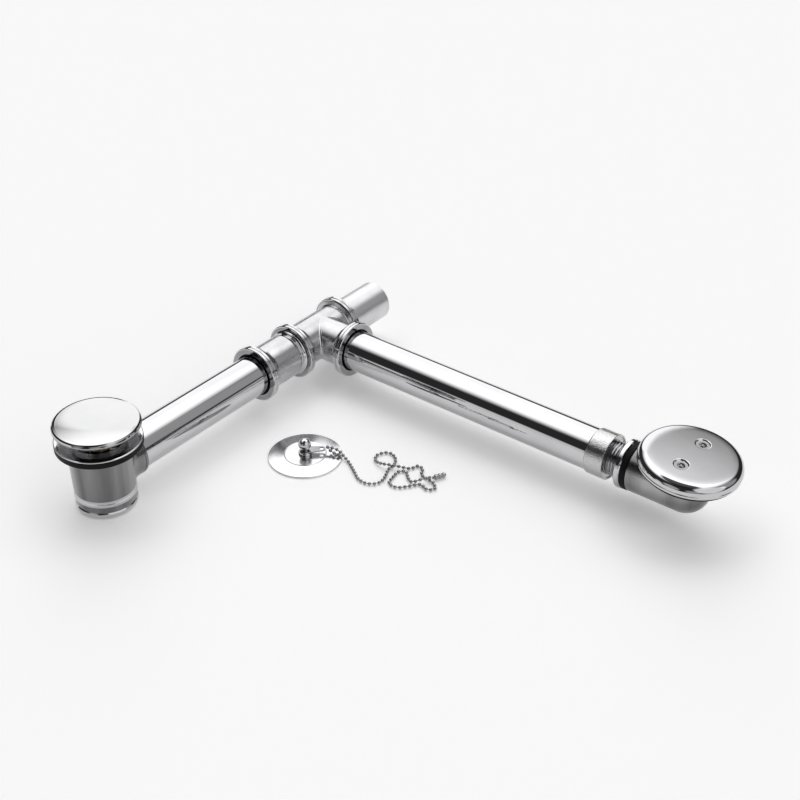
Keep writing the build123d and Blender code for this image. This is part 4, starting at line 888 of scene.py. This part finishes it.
nose_profile = nose_arc(notch_tilt, edge_tilt)
under_points, under_normals = bowl_of(5.5, 8.3, 0.0, 72.0, 20)
ceiling_profile = joined(rounded((0, 13.8, 0), (35.7, 13.8, 0)), (under_points + [35.8, 0.0], -under_normals))
skirt_profile = joined(
    rounded(
        (NOTCH_INNER, NOTCH_TOP, 0), (41.3, 8.3, 0.4), (41.3, 3.0, 0.2), (SKIRT_R, 3.0, 0.3), (43.25, 3.6, 0.3),
        (43.25, 5.1, 0.35), (42.75, 5.9, 0.3), (EDGE_R, NOSE_UP, 0),
    ),
    nose_arc(math.pi / 2, notch_tilt),
)
roof_profile = rounded((NOTCH_INNER, NOTCH_TOP, 0), (nose_profile[0][0, 0], NOTCH_TOP, 0))
make_piece(
    "plate_pressed",
    [
        height_field(plate_height, FACE_R, (0, 0), 120, 288),
        on_head(nose_profile, segments=288),
        on_head(ceiling_profile),
        on_head(skirt_profile, sweep=(-180 + NOTCH, 180 - NOTCH), segments=240),
        on_head(roof_profile, sweep=(180 - NOTCH, 180 + NOTCH), segments=40),
    ],
    mirror_chrome, ["overflow_plate"],
)
print("plate made, notch", round(2 * NOTCH, 1), "degrees wide")

# %% [markdown]
# Each screw has a low domed head with a cross recess. The head is another height field, so the recess is
# simply where the height drops, with sloping walls like those that a driver leaves.

# %% Plate screws
SCREW_R, SCREW_DOME_R, SCREW_LOW, SCREW_RISE = 4.2, 4.25, 12.3, 2.6
SCREW_TURN, CROSS_DEPTH, CROSS_HALF, CROSS_REACH = math.radians(35), 2.0, 0.75, 2.3
CROSS_SIDE, CROSS_END = 0.5, 0.8


def cross_arm(along, beside):
    """1 on one bar of the cross and 0 off it, with sloping sides and ends."""
    side = smooth_step((CROSS_HALF - np.abs(beside)) / CROSS_SIDE)
    return side * smooth_step((CROSS_REACH - np.abs(along)) / CROSS_END)


def screw_height(x, y):
    """Dome, low + rise * sqrt(1 - (r / R)^2), less a turned cross made of two bars u and v."""
    u = x * math.cos(SCREW_TURN) + y * math.sin(SCREW_TURN)
    v = y * math.cos(SCREW_TURN) - x * math.sin(SCREW_TURN)
    away = np.sqrt(x**2 + y**2)
    dome = SCREW_LOW + SCREW_RISE * np.sqrt(np.clip(1.0 - (away / SCREW_DOME_R) ** 2, 0.0, 1.0))
    return dome - CROSS_DEPTH * np.maximum(cross_arm(u, v), cross_arm(v, u))


shank_profile = rounded(
    (0, -6.5, 0), (2.4, -6.5, 0.4), (2.4, 12.7, 0.1), (SCREW_R, 12.7, 0.1), (SCREW_R, 13.3, 0)
)
screw_surfaces = []
for spot in DIMPLES:
    shank_at = HEAD + spot[1] * HEAD_NORTH
    screw_surfaces.append(height_field(screw_height, SCREW_R, spot, 44, 96))
    screw_surfaces.append(turned(shank_profile, shank_at, HEAD_UP, HEAD_EAST, segments=64))
make_piece("screws_driven", screw_surfaces, screw_chrome_painted_shade, ["plate_screws"])
print("screws made, head radius", SCREW_R, "mm")

# %% [markdown]
# The loose plug is a shallow stepped disc with a ball knob riveted through it. A flat hasp turns under the
# ball and carries the chain.

# %% Plug and knob
PLUG = np.array([90.3, 151.8, 0.0])
KNOB_R, KNOB_HEIGHT = 5.7, 13.45
disc_profile = looped(
    (10, 2.2, 0), (23.2, 2.2, 1.0), (32.75, 0.55, 0.25), (33.3, 1.1, 0.3), (32.93, 1.65, 0.3),
    (19.0, 3.5, 0.25), (18.5, 3.25, 0.2), (18.0, 3.75, 0.3), (2.3, 4.0, 0.1), (2.3, 2.2, 0.1),
)
make_piece("plug_disc_turned", [turned(disc_profile, PLUG, UP, EAST)],
           spun_chrome, ["plug_disc"])

knob_profile = joined(
    rounded(
        (0, 2.2, 0), (2.2, 2.2, 0.2), (2.2, 4.0, 0.1), (6.0, 4.0, 0.3), (6.0, 6.0, 0.7), (4.9, 6.0, 0.2),
        (4.9, 7.0, 0.3), (3.0, 7.0, 0.2), (3.0, 8.55, 0),
    ),
    bowl_of(KNOB_R, KNOB_HEIGHT, 147.0, 0.0, 48),
)
make_piece("plug_knob_turned", [turned(knob_profile, PLUG, UP, EAST, segments=128)],
           mirror_chrome, ["plug_knob"])
print("plug made, knob radius", KNOB_R, "mm")

# %% [markdown]
# The bead chain is hollow balls on short wires. Its line runs through the same places as the solid model:
# over the plug's edge, along the table and round its own loops, where it rises over itself. A place without a
# height lies on the table. A smooth spline through the places is measured, and a ball is put at each even
# step, so all the balls can be computed together as one array.

# %% Chain's line
LIE, OVER, PITCH = 1.6, 5.12, 4.4
RISE, FALL = OVER * 0.7, OVER * 0.6
HOOK_TURN, HOOK_HEIGHT, HOOK_REACH = math.radians(43.6), 8.9, 15.6
heading = np.array([math.cos(HOOK_TURN), math.sin(HOOK_TURN), 0.0])
HOOK = PLUG + UP * HOOK_HEIGHT + heading * HOOK_REACH
HOOK_OUT = HOOK + heading * PITCH
CHAIN_ROUTE = np.array([(*place, LIE)[:3] for place in (
    HOOK, HOOK_OUT, (108.5, 170, 6.6), (113, 171.5, 5.2), (119, 170, 3.6), (128, 167), (141, 159),
    (150, 153.5), (160, 153), (167, 159), (167, 168), (162, 180), (161, 190), (155, 198), (146, 200),
    (140.5, 192), (144, 184), (152, 181, RISE), (160, 182, OVER), (168, 188, FALL), (176, 193), (179, 200),
    (185, 199), (190, 191.5), (198, 190), (206, 188), (211, 182), (205, 178), (197, 180), (191, 172),
    (184, 164.5), (175, 165), (172, 174), (171, 183), (176, 187), (183, 181), (189, 178.5),
    (194, 182, RISE), (198.5, 187, OVER), (201.5, 193.5, FALL),
)])
LOWER_STRAND = np.array([HOOK, HOOK_OUT, (109, 165.5, 6.2), (113.5, 166.5, 5.0), (119, 170, 3.6)])


def even_steps(route, pitch):
    """Places a pitch apart on a smooth line through the route: a cubic curve between each two points, whose
    slope at a point is half the way from the point before it to the point after it."""
    slope = np.gradient(route, axis=0)
    step = np.linspace(0, 1, 60, endpoint=False)[None, :, None]
    start, end = route[:-1, None], route[1:, None]
    curve = (
        (2 * step**3 - 3 * step**2 + 1) * start
        + (step**3 - 2 * step**2 + step) * slope[:-1, None]
        + (3 * step**2 - 2 * step**3) * end
        + (step**3 - step**2) * slope[1:, None]
    ).reshape(-1, 3)
    curve = np.concatenate([curve, route[-1:]])
    gone = np.concatenate([[0.0], np.cumsum(np.linalg.norm(np.diff(curve, axis=0), axis=1))])
    count = round(gone[-1] / pitch)
    marks = np.linspace(0, gone[-1], count + 1)
    return np.stack([np.interp(marks, gone, curve[:, k]) for k in range(3)], axis=1)


upper = even_steps(CHAIN_ROUTE, PITCH)[1:-1]
lower = even_steps(LOWER_STRAND, PITCH)[1:]
print("chain's line has", len(upper), "places, and its lower strand", len(lower))

# %% [markdown]
# A ball needs only a few dozen faces, because there are so many of them. The same ball and the same rod are
# added to every place at once, and the numbers of their corners are moved on by the size of one.

# %% Bead chain
BALL_R, WIRE_R, POLE = 1.62, 0.42, 0.12


def repeated(faces, count, size):
    """Faces of one shape, repeated count times and moved on by its size in points each time."""
    return (faces[None] + (np.arange(count) * size)[:, None, None]).reshape(-1, faces.shape[1]).tolist()


def balls_at(places, radius, rings=7, columns=10):
    """A ball at each place: place + radius * (sin u cos v, sin u sin v, cos u), with a flat at each pole."""
    u = np.linspace(POLE, np.pi - POLE, rings)[::-1, None]
    v = circle(columns)
    ball = np.stack([np.sin(u) * np.cos(v), np.sin(u) * np.sin(v), np.cos(u) * np.ones_like(v)], axis=-1)
    ball = ball.reshape(-1, 3)
    points = places[:, None] + radius * ball[None]
    lids = np.stack([np.arange(columns)[::-1], (rings - 1) * columns + np.arange(columns)])
    faces = [repeated(part, len(places), len(ball)) for part in (grid_faces(rings, columns, True), lids)]
    return as_rows(points, np.broadcast_to(ball, points.shape), faces[0] + faces[1])


def wires_between(places, radius, columns=6):
    """A thin rod from each place to the next: two rings of points square to the way between them."""
    way = unit(np.diff(places, axis=0))
    side = unit(np.cross(way, UP))
    lift = np.cross(side, way)
    v = circle(columns)
    ray = np.cos(v)[None, :, None] * side[:, None] - np.sin(v)[None, :, None] * lift[:, None]
    ends = np.stack([places[:-1], places[1:]], axis=1)
    points = ends[:, :, None] + radius * ray[:, None]
    faces = repeated(grid_faces(2, columns, True), len(way), 2 * columns)
    return as_rows(points, np.broadcast_to(ray[:, None], points.shape), faces)


make_piece(
    "chain_beaded",
    [
        balls_at(upper, BALL_R), wires_between(upper, WIRE_R),
        balls_at(lower[1:-1], BALL_R), wires_between(lower, WIRE_R),
    ],
    dark_chrome, ["bead_chain"],
)
print("chain made,", len(upper) + len(lower) - 2, "balls")

# %% [markdown]
# The chain ends in a ribbed fitting, which is turned about its own sloping axis.

# %% Chain tip
TIP_FROM = CHAIN_ROUTE[-1]
TIP_WAY = unit(np.array([207.5, 206.0, 2.4]) - TIP_FROM)
TIP_START, TIP_LENGTH, TIP_R, RIB_R, RIBS = -1.36, 13.0, 1.8, 2.4, 3
TIP_END, RIB = TIP_START + TIP_LENGTH, TIP_LENGTH / (2 * RIBS + 1)
tip_steps = [(0, TIP_START, 0), (1.2, TIP_START, 0.3)]
for rib_at in TIP_START + RIB * (2 * np.arange(RIBS) + 1):
    tip_steps += [
        (TIP_R, rib_at, 0.2), (RIB_R, rib_at + RIB * 0.3, 0.3), (RIB_R, rib_at + RIB * 1.2, 0.3),
        (TIP_R, rib_at + RIB * 1.5, 0.2),
    ]
tip_steps += [(1.44, TIP_END, 0.4), (0, TIP_END, 0)]
make_piece("chain_tip_turned", [turned(rounded(*tip_steps), TIP_FROM, TIP_WAY, UP, segments=48)],
           dark_chrome, ["chain_tip"])
print("chain tip made,", RIBS, "ribs")

# %% [markdown]
# The pieces that are hidden inside, or flat like the hasp, keep their solid's own mesh and only get a finish.

# %% Finishes on the solids that stay
KEPT = {
    "plug_hasp": dark_chrome, "plug_seal": black_rubber, "shoe_base_seal": black_rubber,
    "coupling_washer": black_rubber, "tee_inlet_washer": black_rubber, "tee_outlet_washer": black_rubber,
    "tee_branch_washer": black_rubber, "plunger_barrel": raw_brass,
}
for node, finish in KEPT.items():
    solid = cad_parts[node]
    solid.data.materials.clear()
    solid.data.materials.append(finish)
print("solids kept:", len(KEPT))

# %% [markdown]
# The table is a wide white disc just under the set. Its shader gives a little light of its own, but only where
# the camera, a reflection or glass looks at it. So it comes out white without stronger lamps, which would
# burn out the metal, and it still keeps the set's shadow.

# %% Table
TABLE_R, TABLE_TOP, TABLE_WHITE, TABLE_GLOW = 4000.0, -0.2, 0.93, 0.225


def worked_out(tree, operation, first, second):
    """Sum, product or larger of two values in a shader tree; each is a socket or a number."""
    result = tree.nodes.new("ShaderNodeMath")
    result.operation = operation
    for socket, value in zip(result.inputs, (first, second)):
        if isinstance(value, float):
            socket.default_value = value
        else:
            tree.links.new(value, socket)
    return result.outputs[0]


table_profile = (np.array([[TABLE_R, TABLE_TOP], [0.0, TABLE_TOP]]), np.array([[0.0, 1.0], [0.0, 1.0]]))
table_points, _, table_faces = turned(table_profile, ORIGIN, UP, EAST, segments=96)
table_mesh = bpy.data.meshes.new("table")
table_mesh.from_pydata((table_points * MM).tolist(), [], table_faces)
table = bpy.data.objects.new("table", table_mesh)
bpy.context.collection.objects.link(table)

table_white = bpy.data.materials.new("table_white")
table_white.use_nodes = True
table_tree = table_white.node_tree
table_tree.nodes.clear()
table_end = table_tree.nodes.new("ShaderNodeOutputMaterial")
table_matt = table_tree.nodes.new("ShaderNodeBsdfDiffuse")
table_matt.inputs["Color"].default_value = grey(TABLE_WHITE, 0.0)
table_glow = table_tree.nodes.new("ShaderNodeEmission")
table_sum = table_tree.nodes.new("ShaderNodeAddShader")
table_path = table_tree.nodes.new("ShaderNodeLightPath").outputs
seen = worked_out(table_tree, "MAXIMUM", table_path["Is Camera Ray"], table_path["Is Glossy Ray"])
seen = worked_out(table_tree, "MAXIMUM", seen, table_path["Is Transmission Ray"])
glow_level = worked_out(table_tree, "MULTIPLY", seen, TABLE_GLOW)
table_tree.links.new(glow_level, table_glow.inputs["Strength"])
table_tree.links.new(table_matt.outputs[0], table_sum.inputs[0])
table_tree.links.new(table_glow.outputs[0], table_sum.inputs[1])
table_tree.links.new(table_sum.outputs[0], table_end.inputs["Surface"])
table_mesh.materials.append(table_white)
print("table radius", TABLE_R * MM, "m")

# %% [markdown]
# Chrome shows its room, so the room matters more than the lamps. The world is a studio dome, bright overhead
# and dark near the horizon and towards the photographer, which gives the tubes their sharp dark band between
# two bright ones. Each light is a round patch with a soft edge. The cards are weak patches, which put a glint
# on the low sides and on pieces seen from behind. A patch is given by its azimuth, elevation, outer and inner
# angle, and its value outside and inside.

# %% Studio dome
world = bpy.data.worlds.new("studio")
bpy.context.scene.world = world
world.use_nodes = True
dome = world.node_tree
dome.nodes.clear()
dome_end = dome.nodes.new("ShaderNodeOutputWorld")
dome_light = dome.nodes.new("ShaderNodeBackground")
dome.links.new(dome_light.outputs[0], dome_end.inputs["Surface"])
dome_place = dome.nodes.new("ShaderNodeTexCoord")


def toward(azimuth, elevation):
    """Direction from the set towards a place on the dome; azimuth 0 is +X and 90 is +Y."""
    a, e = math.radians(azimuth), math.radians(elevation)
    return (math.cos(a) * math.cos(e), math.sin(a) * math.cos(e), math.sin(e))


def patch(azimuth, elevation, outer, inner, outside, inside):
    """Value that goes from outside to inside between two angles from a direction on the dome."""
    nearness = dome.nodes.new("ShaderNodeVectorMath")
    nearness.operation = "DOT_PRODUCT"
    nearness.inputs[1].default_value = toward(azimuth, elevation)
    dome.links.new(dome_place.outputs["Generated"], nearness.inputs[0])
    ramp = dome.nodes.new("ShaderNodeMapRange")
    ramp.interpolation_type = "SMOOTHSTEP"
    ramp.inputs["From Min"].default_value = math.cos(math.radians(outer))
    ramp.inputs["From Max"].default_value = math.cos(math.radians(inner))
    ramp.inputs["To Min"].default_value = outside
    ramp.inputs["To Max"].default_value = inside
    dome.links.new(nearness.outputs["Value"], ramp.inputs["Value"])
    return ramp.outputs["Result"]


vault = patch(130, 75, 53.0, 20.0, 0.04, 2.6)
overhead_gap = patch(290, 76, 28.0, 20.0, 1.0, 0.06)
grey_card = patch(106, 34, 22.0, 4.0, 1.0, 0.62)
low_lobe = patch(132, 29, 22.5, 16.0, 0.0, 2.1)
right_card = patch(36, 27, 20.0, 14.0, 0.0, 0.5)
low_strip = patch(241, 4, 10.0, 4.0, 0.0, 1.0)
front_box = patch(352, 30, 32.0, 25.0, 0.0, 1.2)
near_card = patch(312, 12, 18.0, 8.0, 0.0, 0.5)
side_card = patch(268, 15, 20.0, 10.0, 0.0, 0.6)
dome_value = worked_out(dome, "MULTIPLY", worked_out(dome, "MULTIPLY", vault, overhead_gap), grey_card)
dome_value = worked_out(dome, "MAXIMUM", dome_value, low_lobe)
for card in (right_card, low_strip, front_box, near_card, side_card):
    dome_value = worked_out(dome, "ADD", dome_value, card)
dome.links.new(dome_value, dome_light.inputs["Strength"])
print("dome made of a bright vault with a gap, a low lobe, a dark horizon and five cards")
